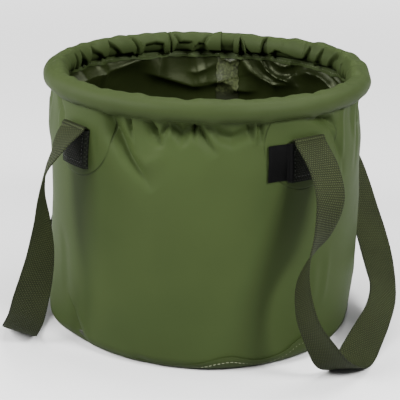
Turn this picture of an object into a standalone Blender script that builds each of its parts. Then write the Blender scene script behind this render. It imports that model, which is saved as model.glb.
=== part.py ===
"""A collapsible water bucket: a coated cloth wall and base, a hooped rim and two webbing handles.

Metres, +Z up. The origin is the centre of the base's underside. Azimuths are in degrees, with 0 at the
front (-Y) and 90 at +X.
"""
from math import asin, atan2, ceil, cos, degrees, exp, radians, sin, sqrt

import bmesh
import bpy
from mathutils import Vector

# Overall size
HEIGHT = 0.2265
RIM_DIAMETER = 0.280
BODY_DIAMETER = 0.270

# Cloth, and the gap that neighbours keep
CLOTH = 0.0008
GAP = 0.0003
SEGMENTS = 60

# Rim: the hem that wraps the hoop, and the hoop in it
SLEEVE_DIAMETER = 0.017
HEM_DROP = 0.007
SLEEVE_LAP = 0.002
HOOP_WALL = 0.0016
HOOP_SPLIT = 0.004
JOINER_SEGMENTS = 3
SEAM_AZIMUTH = 171.0
TUBE_SIDES = 10

# Wall: how far the cloth takes to fill out below the rim, and its lower edge
NECK_DROP = 0.040
EDGE_RADIUS = 0.012
WALL_FOOT_ANGLE = -62.0
GATHER_DEPTH = 0.0032
GATHER_RIDGE = 0.0012
GATHER_DROP = 0.0105
GATHER_REACH = 0.075
GATHER_WIDTH = 4.5
GATHERS = (-66, -30, -12, 6, 54, 72, 90, 108, 150, 192, 234, 252, 276)

# Base margin, seam tapes and threads
MARGIN_ANGLE = -16.0
TAPE = 0.0006
BASE_TAPE_FLOOR = 0.010
BASE_TAPE_TOP = 0.022
SEAM_TAPE_WIDTH = 0.022
THREAD = 0.0008
BASE_THREAD_ANGLE = -35.0
HEM_THREAD_DROP = 0.0035

# Webbing and its sewn ends
WEBBING_WIDTH = 0.030
WEBBING = 0.0015
HANDLE_AZIMUTHS = {"right": 83.0, "left": -97.0}
ANCHOR_HALF_ANGLE = 47.0
PATCH_MARGIN = 0.003
PATCH_HEIGHT = 0.031
PATCH_DROP = 0.0115
PATCH = 0.0012
PATCH_SLOPE = 0.002
STRAP_TAIL = 0.028
STITCH_INSET = 0.0045
LABEL_WIDTH = 0.020
LABEL_HEIGHT = 0.029
LABEL = 0.0006
LABEL_GAP = 0.0006
HINGE_DROP = 0.0153
HINGE_ASIDE = 0.0015
LOOP_STEP = 0.008
END_STEP = 0.004
STRAP_COLUMNS = 5

# The way each handle's webbing falls from its front fold, round on the floor and up to its back fold:
# (azimuth as a share of the anchors' half angle, stand-off from the wall and height as shares of the
# folds' height, heading of the webbing's width from the handle's tangent, tilt of the width)
RIGHT_FALL = (
    (-1.01, 0.113, 0.910, -49, -6),
    (-1.04, 0.178, 0.800, -45, -13),
    (-1.13, 0.193, 0.617, -12, -15),
    (-1.19, 0.199, 0.439, 25, -8),
    (-1.14, 0.225, 0.251, 49, -13),
    (-1.00, 0.235, 0.089, 71, -21),
    (-0.79, 0.193, 0.020, 74, -4),
    (-0.60, 0.162, 0.040, 82, 25),
    (-0.34, 0.157, 0.120, 103, 44),
    (-0.09, 0.141, 0.204, 108, 27),
    (0.17, 0.112, 0.293, 109, 8),
    (0.48, 0.099, 0.450, 119, 5),
    (0.73, 0.094, 0.659, 142, 6),
    (0.85, 0.080, 0.789, 176, 9),
    (0.94, 0.062, 0.899, 211, 4),
)
LEFT_FALL = (
    (1.03, 0.106, 0.930, 212, -8),
    (1.02, 0.157, 0.847, 196, -11),
    (1.02, 0.191, 0.680, 177, -7),
    (1.04, 0.206, 0.497, 149, -6),
    (1.01, 0.225, 0.314, 122, -9),
    (0.91, 0.233, 0.157, 103, -17),
    (0.77, 0.214, 0.047, 93, -14),
    (0.60, 0.157, 0.020, 86, 2),
    (0.34, 0.110, 0.060, 66, 24),
    (0.04, 0.084, 0.150, 32, 38),
    (-0.21, 0.073, 0.272, 4, 42),
    (-0.45, 0.068, 0.413, -18, 40),
    (-0.66, 0.068, 0.575, -34, 33),
    (-0.83, 0.067, 0.742, -47, 20),
    (-0.95, 0.056, 0.889, -49, 5),
)

# Derived sizes
UP = Vector((0, 0, 1))
SLEEVE_RADIUS = SLEEVE_DIAMETER / 2
TUBE_RADIUS = RIM_DIAMETER / 2 - SLEEVE_RADIUS
TUBE_HEIGHT = HEIGHT - SLEEVE_RADIUS
HOOP_RADIUS = SLEEVE_RADIUS - CLOTH - GAP
HOOP_BORE = HOOP_RADIUS - HOOP_WALL
HEM_BOTTOM = TUBE_HEIGHT - SLEEVE_RADIUS - HEM_DROP
LAP_BOTTOM = TUBE_HEIGHT - SLEEVE_RADIUS - SLEEVE_LAP
WALL_TOP = TUBE_HEIGHT - SLEEVE_RADIUS
NECK_RADIUS = TUBE_RADIUS + CLOTH / 2
BODY_RADIUS = BODY_DIAMETER / 2
SKIN = CLOTH + GAP
CORNER_RADIUS = BODY_RADIUS + SKIN - EDGE_RADIUS
STEP = 360 / SEGMENTS
GATHER_TOP = HEM_BOTTOM - GATHER_DROP
PATCH_TOP = HEM_BOTTOM - PATCH_DROP
PATCH_WIDTH = WEBBING_WIDTH + 2 * PATCH_MARGIN
SEAM_FIRST = SEAM_AZIMUTH - STEP / 2
SEAM_LAST = SEAM_AZIMUTH + STEP / 2
TAIL_OFFSET = GAP + WEBBING / 2
PATCH_OFFSET = GAP + WEBBING + GAP
FOLD_OFFSET = PATCH_OFFSET + PATCH + GAP + THREAD + GAP + WEBBING / 2
FOLD_RADIUS = (FOLD_OFFSET - TAIL_OFFSET) / 2
FOLD_CENTRE = PATCH_TOP + GAP
HINGE_HEIGHT = FOLD_CENTRE - HINGE_DROP
WALL_HEIGHTS = [GATHER_TOP - GATHER_REACH * share for share in (1, 0.6, 0.25, 0)]
WALL_HEIGHTS += [HEM_BOTTOM, WALL_TOP]


def material(name, colour, roughness):
    """Make a plain Principled material."""
    made = bpy.data.materials.new(name)
    made.use_nodes = True
    shader = made.node_tree.nodes["Principled BSDF"]
    shader.inputs["Base Color"].default_value = (*colour, 1)
    shader.inputs["Roughness"].default_value = roughness
    shader.inputs["Metallic"].default_value = 0
    return made


def add_object(name, points, faces, finish):
    """Add one closed mesh object whose faces point outward."""
    mesh = bpy.data.meshes.new(name)
    mesh.from_pydata(points, [], faces)
    work = bmesh.new()
    work.from_mesh(mesh)
    bmesh.ops.recalc_face_normals(work, faces=work.faces)
    work.to_mesh(mesh)
    work.free()
    mesh.materials.append(finish)
    mesh.shade_smooth()
    mesh.set_sharp_from_angle(angle=radians(35))
    made = bpy.data.objects.new(name, mesh)
    bpy.context.scene.collection.objects.link(made)
    return made


def at(azimuth, radius, height):
    """The point at an azimuth, a radius and a height."""
    turn = radians(azimuth)
    return Vector((radius * sin(turn), -radius * cos(turn), height))


def flat_factor(azimuth):
    """How much nearer the axis a flat side is at this azimuth than the circle through its corners."""
    aside = (azimuth % STEP) - STEP / 2
    return cos(radians(STEP / 2)) / cos(radians(aside))


def around(first, last):
    """The azimuths from first to last: both ends and every corner of the round between them."""
    inner = [k * STEP for k in range(ceil(first / STEP), ceil(last / STEP)) if k * STEP > first + 1e-6]
    return [first, *inner, last]


def ring_faces(rings, sides, closed):
    """Join equal rings of points by quads, and cap both ends of an open run."""
    faces = []
    for ring in range(rings if closed else rings - 1):
        for side in range(sides):
            here = ring * sides
            there = (ring + 1) % rings * sides
            step = (side + 1) % sides
            faces.append((here + side, here + step, there + step, there + side))
    if not closed:
        faces.append(tuple(range(sides)))
        faces.append(tuple(range((rings - 1) * sides, rings * sides)))
    return faces


def turned(name, section, finish, span=None, push=None):
    """Turn a closed (radius, height) section about the bucket's axis, all round or over a span."""
    azimuths = around(*span) if span else [k * STEP for k in range(SEGMENTS)]
    points = []
    for azimuth in azimuths:
        for radius, height in section:
            out = push(azimuth, height) if push else 0
            points.append(at(azimuth, (radius + out) * flat_factor(azimuth), height))
    faces = ring_faces(len(azimuths), len(section), closed=span is None)
    return add_object(name, points, faces, finish)


def arc(centre_radius, centre_height, radius, start, end, steps):
    """Points on an arc of a section, with angles from the outward direction up."""
    angles = [radians(start + (end - start) * k / steps) for k in range(steps + 1)]
    return [(centre_radius + radius * cos(a), centre_height + radius * sin(a)) for a in angles]


def corner(inset, start, end, steps):
    """An arc of the bucket's lower corner, an inset inside the base's outer face."""
    return arc(CORNER_RADIUS, EDGE_RADIUS, EDGE_RADIUS - inset, start, end, steps)


# Wall


def smooth(share):
    """Ease from 0 to 1."""
    share = min(1, max(0, share))
    return share * share * (3 - 2 * share)


def wall_profile(height):
    """The wall's outer radius at a height above its lower corner, without gathers."""
    fill = smooth((HEM_BOTTOM - height) / NECK_DROP)
    return NECK_RADIUS + (BODY_RADIUS - NECK_RADIUS) * fill


def gather(azimuth, height):
    """How far the gathered cloth stands out, or in where negative."""
    if height >= HEM_BOTTOM or height <= GATHER_TOP - GATHER_REACH:
        return 0
    if height > GATHER_TOP:
        strength = smooth((HEM_BOTTOM - height) / (HEM_BOTTOM - GATHER_TOP))
    else:
        strength = smooth((height - GATHER_TOP + GATHER_REACH) / GATHER_REACH)
    nearest = min(abs((azimuth - fold + 180) % 360 - 180) for fold in GATHERS)
    groove = exp(-((nearest / GATHER_WIDTH) ** 2))
    return strength * (GATHER_RIDGE * (1 - groove) - GATHER_DEPTH * groove)


def wall_radius(azimuth, height):
    """The radius of the wall's faceted outer face, at any azimuth and height above its corner."""
    heights = (EDGE_RADIUS, *WALL_HEIGHTS)
    upper = next((k for k, h in enumerate(heights) if h >= height), len(heights) - 1)
    upper = max(1, upper)
    low, high = heights[upper - 1], heights[upper]
    share = (height - low) / (high - low)
    first = azimuth // STEP * STEP
    corners = []
    for corner_azimuth in (first, first + STEP):
        below = wall_profile(low) + gather(corner_azimuth, low)
        above = wall_profile(high) + gather(corner_azimuth, high)
        corners.append(below + (above - below) * share)
    left, right = corners
    ahead, behind = radians(azimuth - first), radians(first + STEP - azimuth)
    return left * right * sin(ahead + behind) / (left * sin(ahead) + right * sin(behind))


def on_wall(azimuth, height, offset):
    """A point an offset outside the wall's outer face."""
    return at(azimuth, wall_radius(azimuth, height) + offset, height)


def levels(low, high):
    """The heights from low to high: both ends and every level between them where the wall's slope changes."""
    return [low, *[height for height in WALL_HEIGHTS if low < height < high], high]


def build_wall(finish):
    """The wall: from inside the base's turned-up margin to inside the rim's hem."""
    outer = corner(SKIN, WALL_FOOT_ANGLE, 0, 3)
    outer += [(wall_profile(height), height) for height in WALL_HEIGHTS]
    inner = corner(SKIN + CLOTH, WALL_FOOT_ANGLE, 0, 3)
    inner += [(wall_profile(height) - CLOTH, height) for height in WALL_HEIGHTS]
    turned("wall_panel", outer + inner[::-1], finish, push=gather)


def plate(name, columns, heights, thickness, finish, side=1):
    """A thin plate that follows the wall: columns of (azimuth, offset of its near face)."""
    near = [[on_wall(azimuth, height, offset) for azimuth, offset in columns] for height in heights]
    far = [
        [on_wall(azimuth, height, offset + side * thickness) for azimuth, offset in columns]
        for height in heights
    ]
    wide, tall = len(columns), len(heights)
    points = [point for row in near + far for point in row]

    def corner_index(layer, row, column):
        return (layer * tall + row) * wide + column

    faces = []
    for layer in (0, 1):
        for row in range(tall - 1):
            for column in range(wide - 1):
                square = ((row, column), (row, column + 1), (row + 1, column + 1), (row + 1, column))
                faces.append(tuple(corner_index(layer, *place) for place in square))
    border = [(0, column) for column in range(wide)]
    border += [(row, wide - 1) for row in range(1, tall)]
    border += [(tall - 1, column) for column in range(wide - 2, -1, -1)]
    border += [(row, 0) for row in range(tall - 2, 0, -1)]
    for here, there in zip(border, border[1:] + border[:1]):
        near_side = (corner_index(0, *here), corner_index(0, *there))
        faces.append((*near_side, corner_index(1, *there), corner_index(1, *here)))
    return add_object(name, points, faces, finish)


def build_wall_seam(finish):
    """The tape over the wall's vertical seam, inside at the back."""
    half = degrees(SEAM_TAPE_WIDTH / 2 / BODY_RADIUS)
    columns = [(a, -CLOTH - GAP) for a in around(SEAM_AZIMUTH - half, SEAM_AZIMUTH + half)]
    low = BASE_TAPE_TOP + 2 * GAP
    plate("wall_seam_tape", columns, levels(low, HEM_BOTTOM - 2 * GAP), TAPE, finish, side=-1)


# Base


def build_base(finish):
    """The base: a flat disc whose margin turns up outside the wall."""
    outer = corner(0, -90, MARGIN_ANGLE, 6)
    inner = corner(CLOTH, -90, MARGIN_ANGLE, 6)
    section = outer + inner[::-1]
    points = [at(k * STEP, radius, height) for k in range(SEGMENTS) for radius, height in section]
    size = len(section)
    faces = []
    for k in range(SEGMENTS):
        here, there = k * size, (k + 1) % SEGMENTS * size
        for side in range(size - 1):
            faces.append((here + side, here + side + 1, there + side + 1, there + side))
    faces.append(tuple(k * size for k in range(SEGMENTS)))
    faces.append(tuple(k * size + size - 1 for k in range(SEGMENTS)))
    return add_object("base_panel", points, faces, finish)


def build_base_tape(finish):
    """The sealing tape round the inside corner, over the wall's lower edge."""
    on_base = SKIN
    on_wall_inset = SKIN + CLOTH + GAP
    outer = [(CORNER_RADIUS - BASE_TAPE_FLOOR, on_base)]
    outer += corner(on_base, -90, -82, 1)
    outer += corner(on_wall_inset, WALL_FOOT_ANGLE - 7, 0, 4)
    outer += [(BODY_RADIUS - CLOTH - GAP, BASE_TAPE_TOP)]
    inner = [(CORNER_RADIUS - BASE_TAPE_FLOOR, on_base + TAPE)]
    inner += corner(on_base + TAPE, -90, -84, 1)
    inner += corner(on_wall_inset + TAPE, WALL_FOOT_ANGLE - 9, 0, 4)
    inner += [(BODY_RADIUS - CLOTH - GAP - TAPE, BASE_TAPE_TOP)]
    turned("base_seam_tape", outer + inner[::-1], finish)


def thread_ring(name, radius, height, finish):
    """A ring of sewing thread."""
    half = THREAD / 2
    section = [(radius + half, height), (radius, height + half), (radius - half, height), (radius, height - half)]
    turned(name, section, finish)


# Rim


def sleeve_section():
    """The hem's section: round the hoop, with the wall's top edge between its two laps."""
    lap = CLOTH / 2 + GAP
    outside, inside = SLEEVE_RADIUS, SLEEVE_RADIUS - CLOTH
    outer_lean = degrees(asin((lap + CLOTH) / outside)) + 3
    inner_lean = degrees(asin(lap / inside)) + 2
    section = [(TUBE_RADIUS - lap - CLOTH, HEM_BOTTOM)]
    section += arc(TUBE_RADIUS, TUBE_HEIGHT, outside, 270 - outer_lean, outer_lean - 90, 14)
    section += [(TUBE_RADIUS + lap + CLOTH, LAP_BOTTOM), (TUBE_RADIUS + lap, LAP_BOTTOM)]
    section += arc(TUBE_RADIUS, TUBE_HEIGHT, inside, inner_lean - 90, 270 - inner_lean, 14)
    section += [(TUBE_RADIUS - lap, HEM_BOTTOM)]
    return section


def build_hoop(finish):
    """The hoop: a springy tube, bent round, with its two ends a little apart at the seam."""
    half_split = degrees(HOOP_SPLIT / 2 / TUBE_RADIUS)
    azimuths = around(SEAM_AZIMUTH + half_split, SEAM_AZIMUTH + 360 - half_split)
    points = []
    for azimuth in azimuths:
        for radius in (HOOP_RADIUS, HOOP_BORE):
            for out, height in arc(TUBE_RADIUS, TUBE_HEIGHT, radius, 0, 360, TUBE_SIDES)[:-1]:
                points.append(at(azimuth, out * flat_factor(azimuth), height))
    size = 2 * TUBE_SIDES
    faces = []
    for ring in range(len(azimuths) - 1):
        here, there = ring * size, (ring + 1) * size
        for layer in (0, TUBE_SIDES):
            for side in range(TUBE_SIDES):
                a, b = layer + side, layer + (side + 1) % TUBE_SIDES
                faces.append((here + a, here + b, there + b, there + a))
    for end in (0, (len(azimuths) - 1) * size):
        for side in range(TUBE_SIDES):
            step = (side + 1) % TUBE_SIDES
            faces.append((end + side, end + step, end + TUBE_SIDES + step, end + TUBE_SIDES + side))
    add_object("rim_hoop", points, faces, finish)


def build_rim(cloth, plastic, plug):
    """The sleeve, the band between its ends, the hoop and the plug that joins it."""
    section = sleeve_section()
    turned("rim_sleeve", section, cloth, span=(SEAM_LAST, SEAM_FIRST + 360))
    aside = degrees(GAP / TUBE_RADIUS)
    turned("rim_seam_band", section, cloth, span=(SEAM_FIRST + aside, SEAM_LAST - aside))
    build_hoop(plastic)
    plug_half = STEP * JOINER_SEGMENTS / 2
    plug_section = arc(TUBE_RADIUS, TUBE_HEIGHT, HOOP_BORE - GAP, 0, 360, TUBE_SIDES)[:-1]
    turned("hoop_joiner", plug_section, plug, span=(SEAM_AZIMUTH - plug_half, SEAM_AZIMUTH + plug_half))


# Webbing


def width_direction(middle, heading, tilt):
    """The direction of the webbing's width, from its heading about the handle's middle and its tilt."""
    turn, lean = radians(middle + heading), radians(tilt)
    return Vector((cos(turn) * cos(lean), sin(turn) * cos(lean), sin(lean)))


def through(rows, step):
    """Points about a step apart on a smooth curve through rows of (place, width direction).

    The curve leaves its first row straight down and comes up to its last row straight up.
    """
    drop, climb = (rows[1][0] - rows[0][0]).length, (rows[-1][0] - rows[-2][0]).length
    ends = [(rows[1][0] + UP * 2 * drop, rows[0][1])]
    ends += rows
    ends += [(rows[-2][0] + UP * 2 * climb, rows[-1][1])]
    found = []
    for k in range(1, len(ends) - 2):
        before, start, end, after = ends[k - 1 : k + 3]
        count = max(1, round((end[0] - start[0]).length / step))
        for n in range(count):
            t = n / count
            weights = (
                (-t + 2 * t**2 - t**3) / 2,
                (2 - 5 * t**2 + 3 * t**3) / 2,
                (t + 4 * t**2 - 3 * t**3) / 2,
                (-(t**2) + t**3) / 2,
            )
            mixed = []
            for part in (0, 1):
                total = Vector((0, 0, 0))
                for weight, row in zip(weights, (before, start, end, after)):
                    total += row[part] * weight
                mixed.append(total)
            found.append((mixed[0], mixed[1].normalized()))
    found.append(rows[-1])
    return found


def anchors(side):
    """The azimuths of a handle's front and back ends."""
    middle = HANDLE_AZIMUTHS[side]
    half = ANCHOR_HALF_ANGLE if side == "left" else -ANCHOR_HALF_ANGLE
    return middle + half, middle - half


def fold_place(azimuth, lean, out=0):
    """A point of the fold over a patch's top: out from the webbing's middle, at a lean round the fold."""
    turn, radius = radians(lean), FOLD_RADIUS + out
    rise = Vector((0, 0, radius * sin(turn)))
    return on_wall(azimuth, FOLD_CENTRE, TAIL_OFFSET + FOLD_RADIUS + radius * cos(turn)) + rise


def settled(place, width):
    """A point of the webbing's middle line, lifted where the webbing would reach into the floor."""
    flat = sqrt(1 - width.z**2)
    lowest = WEBBING_WIDTH / 2 * abs(width.z) + WEBBING / 2 * flat + GAP
    return Vector((place.x, place.y, max(place.z, lowest)))


def free_run(side):
    """A handle's free webbing, from the outer side of its front fold round to that of its back fold."""
    middle = HANDLE_AZIMUTHS[side]
    front, back = anchors(side)
    half = abs(front - middle)
    way = 0 if side == "right" else 180
    rows = [(fold_place(front, 0), width_direction(front, way, 0))]
    for share, stand_off, rise, heading, tilt in RIGHT_FALL if side == "right" else LEFT_FALL:
        height = rise * FOLD_CENTRE
        place = at(middle + share * half, wall_profile(height) + stand_off * FOLD_CENTRE, height)
        rows.append((place, width_direction(middle, heading, tilt)))
    rows.append((fold_place(back, 0), width_direction(back, 180 - way, 0)))
    return [(settled(place, width), width) for place, width in through(rows, END_STEP)]


def ribbon_faces(rings, columns):
    """Join a ribbon's sections, each its near face's points and then its far face's in the other order.

    Each square is split into triangles the same way on both faces, so that a twist can't cross them.
    """
    sides = 2 * columns
    faces = []
    for ring in range(rings - 1):
        here, there = ring * sides, (ring + 1) * sides
        for side in range(sides):
            step = (side + 1) % sides
            if side < columns:
                faces.append((here + side, here + step, there + step))
                faces.append((here + side, there + step, there + side))
            else:
                faces.append((here + side, here + step, there + side))
                faces.append((here + step, there + step, there + side))
    for ring in (0, rings - 1):
        corners = [ring * sides + side for side in range(sides)]
        for column in range(columns - 1):
            faces.append((corners[column], corners[column + 1], corners[-2 - column], corners[-1 - column]))
    return faces


def framed(rows):
    """Each row of a run as its place, the direction along it, its width's direction and its face's."""
    places = [rows[1][0] + UP, *[place for place, _ in rows], rows[-2][0] + UP]
    found = []
    for k, (place, width) in enumerate(rows):
        along = (places[k + 2] - places[k]).normalized()
        across = (width - along * width.dot(along)).normalized()
        found.append((place, along, across, along.cross(across)))
    return found


def outer_edge(row):
    """The point of a framed row on the webbing's outer edge."""
    place, _, across, _ = row
    return place + across * WEBBING_WIDTH / 2


def with_cut(rows):
    """A framed run down from a fold, with a row where its outer edge passes the hinge, and that row's index."""
    heights = [outer_edge(row).z for row in rows]
    for k in range(1, len(rows)):
        if heights[k - 1] >= HINGE_HEIGHT > heights[k]:
            share = (heights[k - 1] - HINGE_HEIGHT) / (heights[k - 1] - heights[k])
            row = tuple(above.lerp(below, share) for above, below in zip(rows[k - 1], rows[k]))
            return [*rows[:k], row, *rows[k:]], k
    raise ValueError("the webbing never comes down to its hinge")


def parted_run(side):
    """A handle's free webbing in three: front end, loop and back end, with the hinge line's two points."""
    run, first = with_cut(framed(free_run(side)))
    run, from_last = with_cut(run[::-1])
    run = run[::-1]
    last = len(run) - 1 - from_last

    def moved(k, way):
        place, along, across, face = run[k]
        return place + along * (way * GAP / 2), along, across, face

    front = [*run[: first - 1], moved(first, -1)]
    back = [moved(last, 1), *run[last + 2 :]]
    skip = round(LOOP_STEP / END_STEP)
    loop = [moved(first, 1), *run[first + 2 : last - 1 : skip], moved(last, -1)]
    hinge = []
    for row in (run[first], run[last]):
        point = outer_edge(row) + at(HANDLE_AZIMUTHS[side], HINGE_ASIDE, 0)
        hinge.append(Vector((point.x, point.y, HINGE_HEIGHT)))
    return front, loop, back, hinge


def strap_end(name, azimuth, run, finish):
    """A sewn end: the tail under its patch, the fold over the patch's top, and the run down to the hinge."""
    half = half_angle_of(WEBBING_WIDTH / 2)
    columns = around(azimuth - half, azimuth + half)
    shares = [(column - azimuth) / half for column in columns]
    tangent = at(azimuth + 90, 1, 0)
    sections = []
    for height in levels(FOLD_CENTRE - STRAP_TAIL, FOLD_CENTRE):
        sections.append([[on_wall(a, height, GAP + thick) for a in columns] for thick in (0, WEBBING)])
    for lean in (135, 90, 45):
        sections.append([[fold_place(a, lean, out) for a in columns] for out in (WEBBING / 2, -WEBBING / 2)])
    outward = at(azimuth, 1, 0)
    for place, _, across, face in run:
        across = across if across.dot(tangent) > 0 else -across
        face = face if face.dot(outward) > 0 else -face
        middle_line = [place + across * (share * WEBBING_WIDTH / 2) for share in shares]
        sections.append([[p + face * (side * WEBBING / 2) for p in middle_line] for side in (1, -1)])
    points = [point for near, far in sections for point in [*near, *far[::-1]]]
    return add_object(name, points, ribbon_faces(len(sections), len(columns)), finish)


def half_angle_of(half_width):
    """The angle that a half width takes on the wall."""
    return degrees(half_width / BODY_RADIUS)


def build_patch(name, azimuth, black, thread):
    """A patch over a strap's tail, and the box of stitches that holds it."""
    edge = half_angle_of(PATCH_WIDTH / 2)
    flat = half_angle_of(PATCH_WIDTH / 2 - PATCH_SLOPE)
    columns = [(azimuth - edge, GAP)]
    columns += [(column, PATCH_OFFSET) for column in around(azimuth - flat, azimuth + flat)]
    columns += [(azimuth + edge, GAP)]
    bottom = PATCH_TOP - PATCH_HEIGHT
    plate(name + "_patch", columns, levels(bottom, PATCH_TOP), PATCH, black)
    build_box_stitch(name, azimuth, bottom, thread)


def build_box_stitch(name, azimuth, bottom, finish):
    """A closed box of thread on a patch's face."""
    reach = half_angle_of(PATCH_WIDTH / 2 - STITCH_INSET)
    across = around(azimuth - reach, azimuth + reach)
    up = levels(bottom + STITCH_INSET, PATCH_TOP - STITCH_INSET)
    places = [(turn, up[0]) for turn in across]
    places += [(across[-1], height) for height in up[1:]]
    places += [(turn, up[-1]) for turn in across[-2::-1]]
    places += [(across[0], height) for height in up[-2:0:-1]]
    offset = PATCH_OFFSET + PATCH + GAP + THREAD / 2
    path = [on_wall(*place, offset) for place in places]
    points = []
    for k, (place, (turn, _)) in enumerate(zip(path, places)):
        into = (place - path[k - 1]).normalized()
        out_of = (path[(k + 1) % len(path)] - place).normalized()
        mitre = THREAD / 2 / sqrt((1 + into.dot(out_of)) / 2)
        outward = at(turn, 1, 0)
        aside = (into + out_of).cross(outward).normalized()
        for shift in (outward * THREAD / 2, aside * mitre, -outward * THREAD / 2, -aside * mitre):
            points.append(place + shift)
    add_object(name + "_box_stitch", points, ring_faces(len(path), 4, closed=True), finish)


def build_handle(side, strap, black, thread):
    """A handle: its free loop, its two sewn ends, and their patches."""
    front, loop, back, hinge = parted_run(side)
    for place, azimuth, run in zip(("front", "back"), anchors(side), (front, back[::-1])):
        strap_end(f"{side}_{place}_strap_end", azimuth, run, strap)
        build_patch(f"{side}_{place}", azimuth, black, thread)
    points = []
    shares = [2 * k / (STRAP_COLUMNS - 1) - 1 for k in range(STRAP_COLUMNS)]
    for place, _, across, face in loop:
        middle_line = [place + across * (share * WEBBING_WIDTH / 2) for share in shares]
        points += [point - face * WEBBING / 2 for point in middle_line]
        points += [point + face * WEBBING / 2 for point in middle_line[::-1]]
    made = add_object(f"{side}_handle_strap", points, ribbon_faces(len(loop), STRAP_COLUMNS), strap)
    along = (hinge[0] - hinge[1]).normalized()
    pivot = bpy.data.objects.new(f"{side}_handle_pivot", None)
    pivot.location = (hinge[0] + hinge[1]) / 2
    pivot.rotation_euler.z = atan2(along.y, along.x)
    bpy.context.scene.collection.objects.link(pivot)
    bpy.context.view_layer.update()
    made.parent = pivot
    made.matrix_parent_inverse = pivot.matrix_world.inverted()
    print(side, "hinge through", [round(v, 5) for v in pivot.location], "along", [round(v, 5) for v in along])


def build_label(finish):
    """The plain woven tag beside the right handle's front patch."""
    front = anchors("right")[0]
    last = front - half_angle_of(PATCH_WIDTH / 2 + LABEL_GAP)
    first = last - half_angle_of(LABEL_WIDTH)
    columns = [(column, GAP) for column in around(first, last)]
    plate("side_label", columns, levels(PATCH_TOP - LABEL_HEIGHT, PATCH_TOP), LABEL, finish)


def main():
    """Build the bucket."""
    for old in list(bpy.data.objects):
        bpy.data.objects.remove(old)
    cloth = material("olive_coated_cloth", (0.085, 0.112, 0.038), 0.55)
    lining = material("seam_tape", (0.060, 0.072, 0.030), 0.35)
    strap = material("olive_webbing", (0.050, 0.060, 0.025), 0.85)
    black = material("black_webbing", (0.010, 0.011, 0.009), 0.8)
    tag = material("black_woven_tag", (0.008, 0.008, 0.008), 0.7)
    thread = material("sewing_thread", (0.120, 0.130, 0.080), 0.7)
    plastic = material("hoop_plastic", (0.55, 0.56, 0.54), 0.4)
    plug = material("joiner_plastic", (0.03, 0.03, 0.03), 0.45)
    build_wall(cloth)
    build_wall_seam(lining)
    build_base(cloth)
    build_base_tape(lining)
    turn = radians(BASE_THREAD_ANGLE)
    reach = EDGE_RADIUS + GAP + THREAD / 2
    thread_ring("base_seam_thread", CORNER_RADIUS + reach * cos(turn), EDGE_RADIUS + reach * sin(turn), thread)
    build_rim(cloth, plastic, plug)
    hem_face = TUBE_RADIUS - CLOTH / 2 - GAP - CLOTH
    thread_ring("hem_thread", hem_face - GAP - THREAD / 2, HEM_BOTTOM + HEM_DROP - HEM_THREAD_DROP, thread)
    for side in HANDLE_AZIMUTHS:
        build_handle(side, strap, black, thread)
    build_label(tag)


main()
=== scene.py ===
"""The looks of a collapsible water bucket: coated cloth, a hooped rim and two webbing handles.

Metres, +Z up, the origin at the centre of the bucket's underside. Azimuths are in degrees, 0 at the front (-Y)
and 90 at +X. Points on the wall are (azimuth in degrees, height in millimetres).
"""

import logging
import math
from dataclasses import dataclass, field
from enum import Enum
from typing import Sequence

import bpy
import numpy as np
from mathutils import Matrix, Vector

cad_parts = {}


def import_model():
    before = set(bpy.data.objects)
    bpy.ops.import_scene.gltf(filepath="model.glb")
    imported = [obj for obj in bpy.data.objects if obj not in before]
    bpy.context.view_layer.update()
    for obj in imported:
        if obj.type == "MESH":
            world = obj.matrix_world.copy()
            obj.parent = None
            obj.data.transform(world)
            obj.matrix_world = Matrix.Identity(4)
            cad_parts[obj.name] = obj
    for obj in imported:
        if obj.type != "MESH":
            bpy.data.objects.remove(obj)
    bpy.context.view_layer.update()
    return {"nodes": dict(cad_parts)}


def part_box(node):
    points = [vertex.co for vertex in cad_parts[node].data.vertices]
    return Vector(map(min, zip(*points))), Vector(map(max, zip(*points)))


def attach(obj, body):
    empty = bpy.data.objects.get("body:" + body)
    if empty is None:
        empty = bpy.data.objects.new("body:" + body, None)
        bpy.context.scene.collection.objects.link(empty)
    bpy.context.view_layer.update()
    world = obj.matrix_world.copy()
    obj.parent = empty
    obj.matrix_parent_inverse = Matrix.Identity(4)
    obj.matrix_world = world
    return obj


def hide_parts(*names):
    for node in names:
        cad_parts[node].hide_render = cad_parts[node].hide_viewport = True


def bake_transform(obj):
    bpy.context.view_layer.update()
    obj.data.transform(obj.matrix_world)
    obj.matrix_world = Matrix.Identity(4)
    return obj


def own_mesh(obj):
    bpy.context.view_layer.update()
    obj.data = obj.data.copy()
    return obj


LOG = logging.getLogger("bucket")
MM = 0.001
BODY_RADIUS = 0.135
Colour = tuple[float, float, float]


class Body(Enum):
    """The CAD bodies that pieces ride on."""

    BASE = "base"
    RIM = "rim"
    RIGHT_HANDLE = "right_handle"
    LEFT_HANDLE = "left_handle"


class Slot(Enum):
    """The record's material slots."""

    CLOTH = "coated_cloth"
    TAPE = "seam_tape"
    WEBBING = "webbing"
    BLACK_WEBBING = "black_webbing"
    TAG = "tag"
    THREAD = "thread"


# Shader maths


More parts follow.
